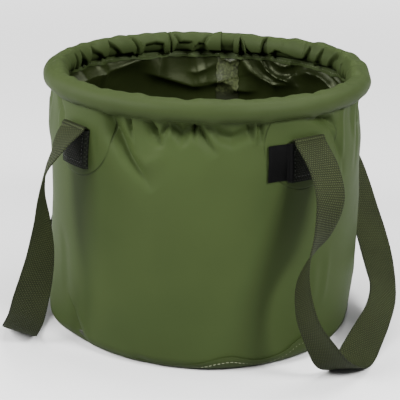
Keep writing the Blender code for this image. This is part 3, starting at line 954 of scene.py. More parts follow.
@dataclass
class WallForm:
    """The wall's outer surface."""

    sizes: Sizes
    creases: tuple[Crease, ...] = field(default_factory=lambda: FRONT_CREASES + BACK_CREASES + gather_creases())
    disc_rise: float = 0.45
    disc_radius: float = 38.0

    def profile(self, height: np.ndarray) -> np.ndarray:
        """The radius at a height, without folds.

        Args:
            height: The heights, in metres.

        Returns:
            The radii, in metres.
        """
        sizes = self.sizes
        fill = smooth((sizes.hem_bottom - height) / sizes.neck_drop)
        body = sizes.neck_radius + (sizes.body_radius - sizes.neck_radius) * fill
        inset = sizes.cloth + sizes.gap
        round_radius = sizes.edge - inset
        below = np.clip(sizes.edge - height, 0, round_radius)
        corner = sizes.corner_radius + np.sqrt(np.maximum(round_radius**2 - below**2, 0))
        return np.where(height < sizes.edge, corner, body)

    def calm(self, azimuth: np.ndarray, height: np.ndarray) -> np.ndarray:
        """How far the sewn patches hold the cloth flat.

        Args:
            azimuth: The points' azimuths.
            height: Their heights, in mm.

        Returns:
            The share of its folds that the cloth keeps: 1 away from the patches, 0 on them.
        """
        mask = np.ones(np.broadcast(azimuth, height).shape)
        middle = (PATCH_TOP - PATCH_HEIGHT / 2) / MM
        for anchor in ANCHORS:
            aside = aside_of(azimuth, anchor.azimuth, self.sizes.body_radius / MM)
            mask = mask * (1 - np.exp(-((aside / 25) ** 4) - ((height - middle) / 22) ** 4))
        return mask

    def relief(self, azimuth: np.ndarray, height: np.ndarray) -> np.ndarray:
        """How far the folds stand out at each point, in metres.

        Args:
            azimuth: The points' azimuths.
            height: Their heights, in metres.

        Returns:
            The relief, in metres, below 0 where the cloth sinks.
        """
        sizes = self.sizes
        azimuth, height = np.broadcast_arrays(azimuth, height / MM)
        radius = sizes.body_radius / MM
        sunk = sum(crease.sink(azimuth, height, radius) for crease in self.creases)
        turn = np.radians(azimuth)
        belly = smooth(height / 70) * smooth((sizes.hem_bottom / MM - height) / 90)
        sway = 0.7 * np.sin(2 * turn + 0.8) + 0.5 * np.sin(3 * turn + 2.1) + 0.28 * np.sin(7 * turn + height / 60)
        raised = np.zeros(azimuth.shape)
        for anchor in ANCHORS:
            aside = aside_of(azimuth, anchor.azimuth, radius)
            reach = np.hypot(aside, height - RING_HEIGHT / MM)
            raised += self.disc_rise * smooth((self.disc_radius + 0.8 - reach) / 1.6)
        held = smooth((sizes.wall_top / MM - height) / 2.2)
        return ((-sunk * self.calm(azimuth, height) + raised) * held + sway * belly) * MM

    def radius(self, azimuth: np.ndarray | float, height: np.ndarray | float) -> np.ndarray:
        """The outer radius at each point."""
        azimuth, height = np.asarray(azimuth, float), np.asarray(height, float)
        return self.profile(height) + self.relief(azimuth, height)

    def point(self, azimuth: np.ndarray, height: np.ndarray, offset: np.ndarray | float) -> np.ndarray:
        """Points an offset outside the wall."""
        return at(azimuth, self.radius(azimuth, height) + offset, height)


def stitch_row(
    name: str,
    path: np.ndarray,
    outward: np.ndarray,
    thread: float,
    finish: bpy.types.Material,
    length: float = 0.0026,
    pitch: float = 0.0036,
    closed: bool = True,
) -> bpy.types.Object:
    """A row of single stitches along a path.

    Args:
        name: The piece's name.
        path: Points on the cloth, close together.
        outward: Unit vectors out of the cloth at these points.
        thread: The thread's thickness.
        finish: Its material.
        length: A stitch's length.
        pitch: The distance from one stitch to the next.
        closed: Whether the path runs round to its start.

    Returns:
        The piece.
    """
    points = np.vstack([path, path[:1]]) if closed else path
    normal = np.vstack([outward, outward[:1]]) if closed else outward
    run = np.r_[0, np.cumsum(np.linalg.norm(np.diff(points, axis=0), axis=1))]
    count = max(1, round(run[-1] / pitch))
    starts = (np.arange(count) + 0.5) * run[-1] / count
    steps = np.array([-1, -0.8, -0.35, 0.35, 0.8, 1.0])
    sink = np.array([-0.6, 0.15, 0.5, 0.5, 0.15, -0.6]) * thread
    girth = np.array([0.3, 0.9, 1.0, 1.0, 0.9, 0.3]) * thread / 2
    where = np.clip(starts[:, None] + steps * length / 2, 0, run[-1])
    core = np.stack([np.interp(where, run, points[:, k]) for k in range(3)], -1)
    up = np.stack([np.interp(where, run, normal[:, k]) for k in range(3)], -1)
    up /= np.linalg.norm(up, axis=-1, keepdims=True)
    along = core[:, -1:] - core[:, :1]
    along = along / np.maximum(np.linalg.norm(along, axis=-1, keepdims=True), 1e-9)
    side = np.cross(up, np.broadcast_to(along, up.shape))
    core = core + up * sink[None, :, None]
    turns = np.radians(np.arange(0, 360, 60))
    ring = up[:, :, None] * np.sin(turns)[:, None] + side[:, :, None] * np.cos(turns)[:, None]
    cloud = (core[:, :, None] + ring * girth[None, :, None, None]).reshape(-1, 3)
    faces: list[tuple[int, ...]] = []
    per, sides = len(steps) * len(turns), len(turns)
    for stitch in range(count):
        first = stitch * per
        for k in range(len(steps) - 1):
            for s in range(sides):
                here, there = first + k * sides, first + (k + 1) * sides
                faces.append((here + s, here + (s + 1) % sides, there + (s + 1) % sides, there + s))
        faces.append(tuple(first + s for s in range(sides))[::-1])
        faces.append(tuple(first + per - sides + s for s in range(sides)))
    mesh = bpy.data.meshes.new(name)
    mesh.from_pydata(cloud.tolist(), [], faces)
    mesh.materials.append(finish)
    return add_object(name, mesh)


@dataclass
class Wall:
    """The round wall, gathered under the rim, with the tape over its seam.

    Its top comes down with the rim, and all below the handles' patches stays on the base.
    """

    form: WallForm
    tape_width: float = 0.022
    tape: float = 0.0006
    tape_low: float = 0.0182
    tape_gap: float = 0.0001
    foot_angle: float = 62.0
    plain_top: float = 0.150
    row_step: float = 0.0025
    travel: float = 0.140
    crumple_low: float = 0.0042
    crumple_top: float = 0.1575

    def columns(self) -> np.ndarray:
        """The azimuths of the wall's columns, closer where its folds are seen."""
        spans = ((-75, 75, 0.5), (75, 100, 1.0), (100, 262, 0.75), (262, 285, 1.0))
        return np.concatenate([np.arange(first, last, step) for first, last, step in spans])

    def heights(self) -> tuple[np.ndarray, np.ndarray]:
        """The heights of the wall's rows.

        Returns:
            Those from its foot to the patches, and those from there to its top in the hem.
        """
        sizes = self.form.sizes
        foot = sizes.edge - (sizes.edge - sizes.cloth - sizes.gap) * math.sin(math.radians(self.foot_angle))
        corner = np.linspace(foot, sizes.edge, 8)[:-1]
        plain = np.arange(sizes.edge, self.plain_top, self.row_step)
        last = np.linspace(self.plain_top, self.crumple_top, 8)
        return np.concatenate([corner, plain, last]), np.linspace(self.crumple_top, sizes.wall_top, 50)

    def build(self, cloth: bpy.types.Material, lining: bpy.types.Material, tape: bpy.types.Material) -> None:
        """Build the wall and its tape.

        Args:
            cloth: The outer finish.
            lining: The inner finish.
            tape: The tape's finish.
        """
        panels = []
        for name, rows in zip(("bucket_wall", "bucket_wall_top"), self.heights()):
            azimuth, height = np.meshgrid(self.columns(), rows)
            front = self.form.point(azimuth, height, 0)
            panels.append(Sheet(name, front, self.inner(azimuth, height, 0), wrap=True).make([cloth, lining]))
        self.join(panels, Slot.CLOTH, "wall_panel")
        self.build_tape(tape)

    def build_tape(self, finish: bpy.types.Material) -> None:
        """Build the tape over the seam, in two strips that meet where the wall's two parts do.

        Args:
            finish: The tape's finish.
        """
        sizes = self.form.sizes
        half = math.degrees(self.tape_width / 2 / sizes.body_radius)
        across = np.linspace(sizes.seam_azimuth - half, sizes.seam_azimuth + half, 24)
        parts = (
            ("wall_seam_strip", self.tape_low, self.crumple_top, 110),
            ("wall_seam_strip_top", self.crumple_top, sizes.hem_bottom - 0.0006, 42),
        )
        strips = []
        for name, low, high, count in parts:
            azimuth, height = np.meshgrid(across, np.linspace(low, high, count))
            ragged = 0.9 * np.sin(height / 0.0037) + 0.6 * np.sin(height / 0.0013 + 2)
            azimuth = azimuth + ragged * 0.35 * np.abs(azimuth - sizes.seam_azimuth) / half
            face = self.inner(azimuth, height, self.tape_gap + self.tape)
            back = self.inner(azimuth, height, self.tape_gap)
            strips.append(Sheet(name, face, back).make([finish]))
        self.join(strips, Slot.TAPE, "wall_seam_tape")

    def inner(self, azimuth: np.ndarray, height: np.ndarray, offset: float) -> np.ndarray:
        """Points an offset inside the wall's inner face."""
        return self.form.point(azimuth, height, -self.form.sizes.cloth - offset)

    def join(self, pieces: Sequence[bpy.types.Object], slot: Slot, node: str) -> None:
        """Let a lower piece ride on the base, and an upper one ride on the rim.

        Args:
            pieces: The lower and the upper piece.
            slot: Not used.
            node: The CAD node that they stand for.
        """
        low, high = pieces
        rise = self.crumple_top - self.crumple_low
        keep = (rise - self.travel) / rise
        settle(low, Body.BASE, node)
        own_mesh(low)
        settle(high, Body.RIM, node)


@dataclass
class Base:
    """The flat round base, whose margin turns up outside the wall, with its stitches and its sealing tape.

    The margin's edge is given as (azimuth, height in mm), and its stitches lie a drop under it, in mm.
    """

    form: WallForm
    thread: float = 0.0007
    stitch_drop: float = 4.6
    stitch_heights: tuple[float, float] = (0.0012, 0.0155)
    stitch_sunk: float = 0.0006
    stitches_seen: tuple[float, float] = (-1.0, 13.0)
    tape: float = 0.0006
    tape_reach: float = 0.010
    tape_rise: float = 0.0045
    floor_radii: tuple[float, ...] = (0.004, 0.03, 0.06, 0.09, 0.11)
    margin_cut: float = 0.0145
    margin_power: float = 1.6
    pressed_thin: float = 0.85
    margin: tuple[tuple[float, float], ...] = (
        (-180, 5.0), (-120, 4.6), (-75, 4.4), (-47, 4.2), (-26, 4.4), (-14, 5.0), (-7, 5.6), (0, 8.0), (5.7, 13.0),
        (10.9, 15.2), (15, 12.0), (19, 9.4), (23.8, 8.6), (30.4, 11.6), (33.3, 16.2), (37.4, 21.0), (41.4, 24.0),
        (46, 20.5), (52, 12.0), (60, 6.0), (100, 4.6), (140, 5.0), (180, 5.0),
    )

    def margin_top(self, azimuth: np.ndarray) -> np.ndarray:
        """The height of the turned-up margin's edge, in metres.

        Args:
            azimuth: The azimuths.

        Returns:
            The height at each of them.
        """
        places, heights = zip(*self.margin)
        near = [np.interp((azimuth + shift + 180) % 360 - 180, places, heights) for shift in (-1.5, 0, 1.5)]
        return sum(near) / 3 * MM

    def outside(self, azimuth: np.ndarray, height: np.ndarray) -> np.ndarray:
        """The radius of the margin's outer face.

        Args:
            azimuth: The points' azimuths.
            height: Their heights, in metres.

        Returns:
            The radius at each point, in metres.
        """
        sizes = self.form.sizes
        below = np.clip(sizes.edge - height, 0, sizes.edge)
        corner = sizes.corner_radius + np.sqrt(np.maximum(sizes.edge**2 - below**2, 0))
        top = self.margin_top(azimuth)
        loose = 0.0009 * smooth((top - 0.0095) / 0.006) * smooth(height / 0.014)
        fold = self.form.relief(azimuth, np.maximum(height, 0.004)) * smooth(height / 0.006)
        return corner + loose + fold + 0.0002 * smooth(height / 0.004)

    def hugging(self, azimuth: np.ndarray, height: np.ndarray, pressed: np.ndarray) -> np.ndarray:
        """The radius of the margin's outer face, drawn in to the wall where it is pressed on it."""
        wall = self.form.radius(azimuth, height) + 0.00018
        return self.outside(azimuth, height) * (1 - pressed) + wall * pressed

    def pressed(self, azimuth: np.ndarray, share: np.ndarray | float) -> np.ndarray:
        """1 where the margin is pressed flat on the wall, towards its edge, and 0 where it stands off."""
        return (1 - 0.7 * smooth((self.margin_top(azimuth) - 0.0062) / 0.003)) * share**2

    def build(
        self,
        cloth: bpy.types.Material,
        lining: bpy.types.Material,
        thread: bpy.types.Material,
        tape: bpy.types.Material,
    ) -> None:
        """Build the base, its stitches and its tape.

        Args:
            cloth: The outer finish.
            lining: The inner finish.
            thread: The stitches' finish.
            tape: The tape's finish.
        """
        sizes = self.form.sizes
        azimuth = np.arange(-180, 180, 0.75)
        top = self.margin_top(azimuth)
        rows = [at(azimuth, radius, 0.0) for radius in (*self.floor_radii, sizes.corner_radius - 0.004)]
        thick = [np.full(azimuth.shape, sizes.cloth) for _ in rows]
        corner = len(rows)
        for share in np.linspace(0, 1, 26):
            height = top * share**self.margin_power
            pressed = self.pressed(azimuth, share)
            rows.append(at(azimuth, self.hugging(azimuth, height, pressed), height))
            thick.append(sizes.cloth * (1 - self.pressed_thin * pressed))
        front = np.stack(rows)
        front[corner] = at(azimuth, sizes.corner_radius, 0.0)
        back = front - self.facing(front) * np.stack(thick)[..., None]
        base = Sheet("bucket_base", front, back, wrap=True, disc=True).make([cloth, lining])
        area = math.pi * (sizes.corner_radius + self.margin_cut) ** 2
        span = 2 * (sizes.corner_radius + self.margin_cut)
        settle(base, Body.BASE, "base_panel")
        self.build_stitches(thread)
        self.build_tape(tape)

    def build_stitches(self, finish: bpy.types.Material) -> None:
        """Build the row of stitches along the margin, which lies on it in front and is sunk in it elsewhere.

        Args:
            finish: The thread's finish.
        """
        azimuth = np.arange(-180, 180, 0.2)
        top = self.margin_top(azimuth)
        height = np.clip(top - self.stitch_drop * MM, *self.stitch_heights)
        first, last = self.stitches_seen
        seen = smooth((azimuth - first) / 3) * (1 - smooth((azimuth - last) / 4))
        pressed = self.pressed(azimuth, (height / top) ** (1 / self.margin_power))
        path = at(azimuth, self.hugging(azimuth, height, pressed) - self.stitch_sunk * (1 - seen), height)
        outward = np.cross(np.roll(path, -1, axis=0) - path, np.array([0, 0, 1.0]))
        outward /= np.linalg.norm(outward, axis=1, keepdims=True)
        row = stitch_row("base_stitches", path, outward, self.thread, finish)
        settle(row, Body.BASE, "base_seam_thread")

    def facing(self, grid: np.ndarray) -> np.ndarray:
        """Unit normals that point out of the base."""
        normals = normals_of(grid, wrap=True)
        return normals if normals[0, 0, 2] < 0 else -normals

    def build_tape(self, finish: bpy.types.Material) -> None:
        """Build the tape that seals the inside corner.

        Args:
            finish: The tape's finish.
        """
        sizes = self.form.sizes
        azimuth = np.arange(-180, 180, 1.5)
        rows = []
        inset = 2 * (sizes.cloth + sizes.gap)
        reach = sizes.edge - inset
        floor = sizes.cloth + sizes.gap
        wave = 0.0006 * np.sin(np.radians(azimuth) * 9) + 0.0004 * np.sin(np.radians(azimuth) * 23)
        for share in np.linspace(0, 1, 5):
            rows.append(at(azimuth, sizes.corner_radius - (self.tape_reach - wave) * (1 - share), floor))
        for turn in np.radians(np.linspace(-70, 0, 8)):
            height = sizes.edge + reach * math.sin(turn)
            rows.append(at(azimuth, sizes.corner_radius + reach * math.cos(turn), max(height, floor)))
        for share in np.linspace(0.25, 1, 5):
            height = sizes.edge + (self.tape_rise + wave) * share
            inner = self.form.radius(azimuth, height) - sizes.cloth - 0.00015
            rows.append(at(azimuth, inner, height))
        outer = np.stack(rows)
        normals = normals_of(outer, wrap=True)
        if normals[0, 0, 2] < 0:
            normals = -normals
        ring = Sheet("base_seam_strip", outer + normals * self.tape, outer, wrap=True).make([finish])
        settle(ring, Body.BASE, "base_seam_tape")


@dataclass(frozen=True)
class Pleat:
    """A pleat inside the rim, where the hem gathers up the cloth.

    Its crest runs from one azimuth on top of the tube to another under its inner side. The height is in mm, and the
    two reaches, in degrees, are those towards lower and higher azimuths.
    """

    top: float
    foot: float
    height: float
    before: float
    after: float
    start: float = 70.0

    def stand(self, azimuth: np.ndarray, turn: np.ndarray) -> np.ndarray:
        """How far the pleat stands off the tube at each point, in mm.

        Args:
            azimuth: The points' azimuths.
            turn: Their places round the tube, in degrees.

        Returns:
            The stand-off at each point.
        """
        crest = self.top + (self.foot - self.top) * smooth((turn - 80) / 120)
        offset = azimuth - crest
        reach = np.where(offset < 0, self.before, self.after) * (0.5 + 0.5 * smooth((turn - self.start) / 80))
        rise = smooth((turn - self.start) / 120) * (1 - 0.85 * smooth((turn - 208) / 34))
        return self.height * rise * np.exp(-(np.abs(offset / reach) ** 1.6))


def fine_pleats(first: float, last: float, step: float, height: float, reach: float) -> tuple[Pleat, ...]:
    """Small pleats side by side, no two alike.

    Args:
        first: The azimuth of the first one.
        last: The azimuth where they end.
        step: How far apart they are, in degrees.
        height: How high they are, in mm.
        reach: How wide they are, in degrees.

    Returns:
        The pleats.
    """
    found = []
    for number, azimuth in enumerate(np.arange(first, last, step)):
        sway = math.sin(number * 2.4) * step * 0.28
        lean = math.sin(number * 1.7 + 1) * 2.2
        size = 0.75 + 0.35 * math.sin(number * 3.1 + 2)
        found.append(Pleat(azimuth + sway, azimuth + sway + lean, height * size, reach * size, reach * 1.4 * size))
    return tuple(found)


# Where the gathered cloth inside the rim turns under: (azimuth, place round the tube in degrees). It reaches far
# round on the ridges and stays high over the hollows between them.
BROW_LINE = (
    (174, 205), (179.5, 205), (181, 178), (184, 166), (185.5, 188), (187, 164), (191, 160), (194, 172), (196, 225),
    (199.2, 225), (200.2, 168), (204, 160), (209.5, 168), (210.6, 222), (214, 220), (216, 198), (221.5, 200),
    (223, 182), (226, 154), (229, 130), (229.9, 200), (232.5, 198), (234.5, 178), (239, 156), (241.2, 134),
    (241.9, 225), (243.2, 225), (244.2, 198), (246.7, 178), (248.6, 154), (250.3, 134), (251.1, 220), (252.5, 220),
    (253.4, 190), (255, 148), (256.2, 136), (257.2, 214), (258.6, 205), (260, 170), (262, 195), (264, 165),
    (266.5, 195), (269, 170), (272, 190), (276, 165), (282, 180), (290, 176), (440, 176), (446, 190), (449, 160),
    (452, 192), (454.5, 162), (457, 195), (459, 190), (460.2, 146), (461.4, 150), (462.6, 205), (465, 190),
    (467, 130), (470, 124), (472.6, 150), (474.5, 190), (479, 196), (479.8, 146), (480.8, 116), (482.4, 140),
    (483.8, 188), (487.2, 192), (488, 140), (489.6, 128), (490.8, 164), (492.2, 192), (496, 196), (502, 186),
    (508, 176), (509.5, 192), (511.8, 202), (512.4, 130), (513.4, 116), (514.6, 132), (515.3, 202), (519.6, 202),
    (521.5, 184), (523.5, 150), (525.2, 124), (525.9, 222), (528, 215),
)
RIDGES = (
    Pleat(174.9, 179.5, 4.6, 0.9, 0.9),
    Pleat(185.5, 186.5, 4.6, 1.6, 1.4, 60),
    Pleat(196.2, 196.0, 5.2, 0.8, 0.8, 45),
    Pleat(199.2, 197.6, 5.4, 0.8, 0.8, 48),
    Pleat(215.0, 210.8, 5.4, 1.1, 0.8, 50),
    Pleat(228.5, 230.5, 4.6, 0.8, 1.2, 56),
    Pleat(241.6, 242.3, 5.4, 0.8, 0.8, 50),
    Pleat(250.6, 251.6, 5.2, 0.8, 0.8, 50),
    Pleat(256.8, 257.8, 4.8, 0.9, 0.9, 50),
    *fine_pleats(260, 284, 4.2, 3.4, 1.1),
    *fine_pleats(287, 434, 9.5, 1.6, 2.6),
    *fine_pleats(440, 459, 4.4, 3.6, 1.1),
    Pleat(463.0, 461.6, 4.6, 1.0, 1.2, 56),
    Pleat(486.0, 485.5, 4.8, 0.9, 1.2, 52),
    Pleat(511.4, 510.8, 4.8, 0.8, 0.8, 52),
    Pleat(527.2, 522.5, 5.2, 0.9, 0.9, 48),
)
FURROWS = (
    Pleat(176.8, 182.0, 3.4, 0.7, 1.1, 70),
    Pleat(197.7, 196.8, 2.6, 0.4, 0.4, 40),
    Pleat(196.6, 192.5, 3.4, 1.0, 0.5, 60),
    Pleat(217.4, 213.0, 3.8, 0.8, 0.7, 60),
    Pleat(494.0, 492.0, 1.2, 1.5, 0.6, 60),
    Pleat(504.0, 505.5, 1.0, 1.2, 1.8, 60),
)


@dataclass
class Rim:
    """The wide hem round the hoop: smooth outside, puckered inside, with a plain band over its seam."""

    form: WallForm
    band_half: float = 3.0
    band_lap: float = 0.35
    brow: float = 4.6
    thread: float = 0.0006

    def pucker(self, azimuth: np.ndarray, turn: np.ndarray) -> np.ndarray:
        """How far the puckers stand out round the tube.

        Args:
            azimuth: The azimuths, from the seam's end on: 174 to 528.
            turn: The place round the tube in degrees: 0 outside, 90 on top, 180 inside.

        Returns:
            The stand-off, in metres.
        """
        places, limits = zip(*BROW_LINE)
        limit = sum(np.interp(azimuth + shift, places, limits) for shift in (-0.25, 0, 0.25)) / 3
        front = smooth((azimuth - 282) / 12) * (1 - smooth((azimuth - 432) / 12))
        total = self.brow * (1 - 0.65 * front) * smooth((turn - 78) / 56) * (1 - smooth((turn - limit) / 22))
        for ridge in RIDGES:
            total = np.maximum(total, ridge.stand(azimuth, turn))
        for furrow in FURROWS:
            total = total - furrow.stand(azimuth, turn)
        angle = np.radians(azimuth)
        outer = 0.12 * np.sin(23 * angle + 1) + 0.08 * np.sin(37 * angle + turn / 40) + 0.08 * np.sin(11 * angle)
        crown = 0.35 * np.sin(13 * angle + 1) + 0.4 * np.sin(31 * angle + 2) + 0.3 * np.sin(53 * angle + turn / 25)
        top = np.exp(-(((turn - 115) / 35) ** 2)) * crown
        low = np.exp(-(((turn + 75) / 30) ** 2)) * (0.8 * np.sin(19 * angle + 1) + 0.5 * np.sin(41 * angle))
        return np.maximum(total + outer + top + low, -0.15) * MM + self.swell(azimuth, turn)

    def swell(self, azimuth: np.ndarray, turn: np.ndarray) -> np.ndarray:
        """How far the loose cloth lifts off the tube on top at the right of the back, in metres.

        Args:
            azimuth: The points' azimuths.
            turn: Their places round the tube, in degrees.

        Returns:
            The lift at each point.
        """
        around = smooth((azimuth - 446) / 14) * (1 - smooth((azimuth - 486) / 24))
        lobes = 0.8 + 0.2 * np.cos(np.radians((azimuth - 468) * 22.5))
        across = smooth((turn - 5) / 50) * (1 - smooth((turn - 105) / 45))
        return 3.6 * MM * around * lobes * across

    def section(self, azimuth: np.ndarray) -> np.ndarray:
        """The outer face of the hem, from its inner edge over the tube to its outer edge.

        Args:
            azimuth: The azimuths of the columns.

        Returns:
            Points as (rows, columns, 3).
        """
        sizes = self.form.sizes
        lean = math.degrees(math.asin((sizes.cloth * 1.5 + sizes.gap) / sizes.sleeve))
        turns = np.linspace(270 - lean - 2, lean - 88, 84)
        angle = np.radians(azimuth)
        wave = 0.0005 * np.sin(17 * angle) + 0.0003 * np.sin(29 * angle + 1) + 0.0002 * np.sin(61 * angle)
        rows = []
        join = np.full(azimuth.shape, turns[0])
        start = sizes.sleeve + self.pucker(azimuth, join)
        neck_radius = sizes.tube_radius + start * math.cos(math.radians(turns[0]))
        neck_height = sizes.tube_height + start * math.sin(math.radians(turns[0]))
        bottom = sizes.hem_bottom + wave
        inner = self.form.radius(azimuth, bottom) - sizes.cloth - sizes.gap - sizes.cloth
        for share in np.linspace(0, 1, 9)[:-1]:
            ripple = 0.00015 * (1 - share) * np.sin(43 * angle)
            radius = inner + (neck_radius - inner) * smooth(share) - 0.0003 - ripple
            rows.append(at(azimuth, radius, bottom + (neck_height - bottom) * share))
        for turn in turns:
            reach = sizes.sleeve + self.pucker(azimuth, np.full(azimuth.shape, turn))
            radius = sizes.tube_radius + reach * math.cos(math.radians(turn))
            rows.append(at(azimuth, radius, sizes.tube_height + reach * math.sin(math.radians(turn))))
        lip = 0.0002 * np.sin(13 * angle + 2) + 0.0002 * np.sin(31 * angle)
        end = sizes.wall_top - sizes.lap_drop + lip
        radius = self.form.radius(azimuth, end) + sizes.gap + sizes.cloth
        rows.append(at(azimuth, np.maximum(radius, sizes.tube_radius + 0.0015), end))
        return np.stack(rows)

    def build(self, cloth: bpy.types.Material, thread: bpy.types.Material) -> None:
        """Build the sleeve, the band and the row of stitches.

        Args:
            cloth: The outer finish.
            thread: The stitches' finish.
        """
        sizes = self.form.sizes
        first, last = sizes.seam_azimuth + self.band_half, sizes.seam_azimuth - self.band_half + 360
        back_right, back_left = np.arange(first, 288, 0.26), np.arange(432, last, 0.26)
        azimuth = np.concatenate([back_right, np.arange(288, 432, 0.8), back_left, [last]])
        front = self.section(azimuth)
        back = front - self.facing(front) * sizes.cloth
        sleeve = Sheet("rim_hem", front, back).make([cloth])
        settle(sleeve, Body.RIM, "rim_sleeve")
        reach = self.band_half + self.band_lap
        azimuth = np.linspace(sizes.seam_azimuth - reach, sizes.seam_azimuth + reach, 15)
        front = self.plain_section(azimuth)
        back = front - self.facing(front) * sizes.cloth * 1.2
        band = Sheet("rim_band", front, back).make([cloth])
        settle(band, Body.RIM, "rim_seam_band")
        fine = np.linspace(first, last, 2400)
        rows = self.section(fine)[3:6]
        outward = self.facing(rows)
        row = stitch_row(
            "hem_stitches", rows[1], outward[1], self.thread, thread, length=0.0022, pitch=0.0033, closed=False
        )
        settle(row, Body.RIM, "hem_thread")

    def plain_section(self, azimuth: np.ndarray) -> np.ndarray:
        """The band's outer face: the tube and its brow without puckers.

        Args:
            azimuth: The azimuths of the columns.

        Returns:
            Points as (rows, columns, 3).
        """
        sizes = self.form.sizes
        bottom = sizes.hem_bottom - 0.0005
        rows = [at(azimuth, self.form.radius(azimuth, bottom) - 0.0026, bottom)]
        for turn in np.linspace(258, -78, 60):
            brow = 0.8 * self.brow * smooth((turn - 78) / 56) * (1 - smooth((turn - 148) / 60))
            reach = sizes.sleeve + 0.0004 + brow * MM
            across, up = reach * math.cos(math.radians(turn)), reach * math.sin(math.radians(turn))
            rows.append(at(azimuth, sizes.tube_radius + across, sizes.tube_height + up))
        return np.stack(rows)

    def facing(self, grid: np.ndarray) -> np.ndarray:
        """Unit normals that point out of the tube.

        Args:
            grid: Points as (rows, columns, 3).

        Returns:
            The normals, in the same layout.
        """
        normals = normals_of(grid, wrap=False)
        rows, columns = grid.shape[:2]
        middle = grid[rows // 2, columns // 2]
        centre = np.array([middle[0], middle[1], 0])
        centre *= self.form.sizes.tube_radius / np.linalg.norm(centre)
        centre[2] = self.form.sizes.tube_height
        return normals if np.dot(normals[rows // 2, columns // 2], middle - centre) > 0 else -normals


@dataclass
class Patch:
    """A black patch of webbing over a handle's sewn end, with its box of stitches."""

    form: WallForm
    anchor: Anchor
    thickness: float = 0.0012
    inset: float = 0.0045
    slope: float = 0.0022
    thread: float = 0.0006
    seam_width: float = 0.0009
    seam_depth: float = 0.00035
    tail_top: float = -0.0003
    tail_end: float = 0.0277

    @property
    def sides(self) -> tuple[float, float]:
        """Where the patch's two sides are, from the middle of the webbing."""
        low, high = self.anchor.cover
        return low * MM, high * MM

    def face(self, aside: np.ndarray, down: np.ndarray) -> np.ndarray:
        """The stand-off of the patch's face from the wall.

        Args:
            aside: Distances from the patch's middle.
            down: Distances below its top.

        Returns:
            The stand-off.
        """
        sizes = self.form.sizes
        over = 2 * sizes.gap + sizes.webbing
        low, high = self.sides
        edge = np.minimum(aside - low, high - aside)
        lift = over * smooth(edge / self.slope)
        end = np.minimum(down, PATCH_HEIGHT - down)
        across = np.abs(edge - self.inset) + 10 * (end < self.inset - 0.0005)
        along = np.abs(end - self.inset) + 10 * (edge < self.inset - 0.0005)
        sewn = np.exp(-((np.minimum(across, along) / self.seam_width) ** 2))
        pillow = 0.0002 * np.sin(aside / 0.004 + 1) * np.sin(down / 0.005)
        return sizes.gap + lift + self.thickness - self.seam_depth * sewn + pillow

    def spread(self, aside: np.ndarray) -> np.ndarray:
        """The azimuth at a distance from the patch's middle."""
        return self.anchor.azimuth + np.degrees(aside / self.form.sizes.body_radius)

    def build(self, black: bpy.types.Material, thread: bpy.types.Material, webbing: bpy.types.Material) -> None:
        """Build the patch, its stitches and the webbing's tail under it.

        Args:
            black: The patch's finish.
            thread: The stitches' finish.
            webbing: The tail's finish.
        """
        sizes = self.form.sizes
        aside, down = np.meshgrid(np.linspace(*self.sides, 61), np.linspace(0, PATCH_HEIGHT, 53))
        face = self.face(aside, down)
        azimuth, height = self.spread(aside), PATCH_TOP - down
        front = self.form.point(azimuth, height, face)
        back = self.form.point(azimuth, height, np.maximum(face - self.thickness, sizes.gap))
        weave = np.stack([aside, down], -1)
        patch = Sheet(self.anchor.name + "_cover", front, back).make([black], weave)
        settle(patch, Body.RIM, self.anchor.name + "_patch")
        self.build_stitches(thread)
        self.build_tail(webbing)

    def build_stitches(self, finish: bpy.types.Material) -> None:
        """Build the box of stitches.

        Args:
            finish: The thread's finish.
        """
        left, right = self.sides[0] + self.inset, self.sides[1] - self.inset
        top, bottom = self.inset, PATCH_HEIGHT - self.inset
        corners = [(left, top), (right, top), (right, bottom), (left, bottom), (left, top)]
        way = np.linspace(0, 4, 240)[:-1]
        aside, down = (np.interp(way, range(5), places) for places in zip(*corners))
        path = self.form.point(self.spread(aside), PATCH_TOP - down, self.face(aside, down))
        outward = at(self.spread(aside), 1.0, 0.0)
        name = self.anchor.name
        row = stitch_row(name + "_stitches", path, outward, self.thread, finish, length=0.0022, pitch=0.0031)
        settle(row, Body.RIM, name + "_box_stitch")

    def build_tail(self, finish: bpy.types.Material) -> None:
        """Build the flat tail of webbing that the patch covers.

        Args:
            finish: The webbing's finish.
        """
        sizes = self.form.sizes
        half = sizes.webbing_width / 2
        aside, down = np.meshgrid(np.linspace(-half, half, 21), np.linspace(self.tail_top, self.tail_end, 36))
        azimuth, height = self.spread(aside), PATCH_TOP - down
        edge = smooth((half - np.abs(aside)) / 0.001 + 0.4)
        inner = self.form.point(azimuth, height, sizes.gap * 0.7)
        outer = self.form.point(azimuth, height, sizes.gap * 0.7 + sizes.webbing * 0.9 * edge)
        tail = Sheet(self.anchor.name + "_tail", outer, inner).make([finish], np.stack([aside, down], -1))
        settle(tail, Body.RIM, self.anchor.name + "_strap_end")


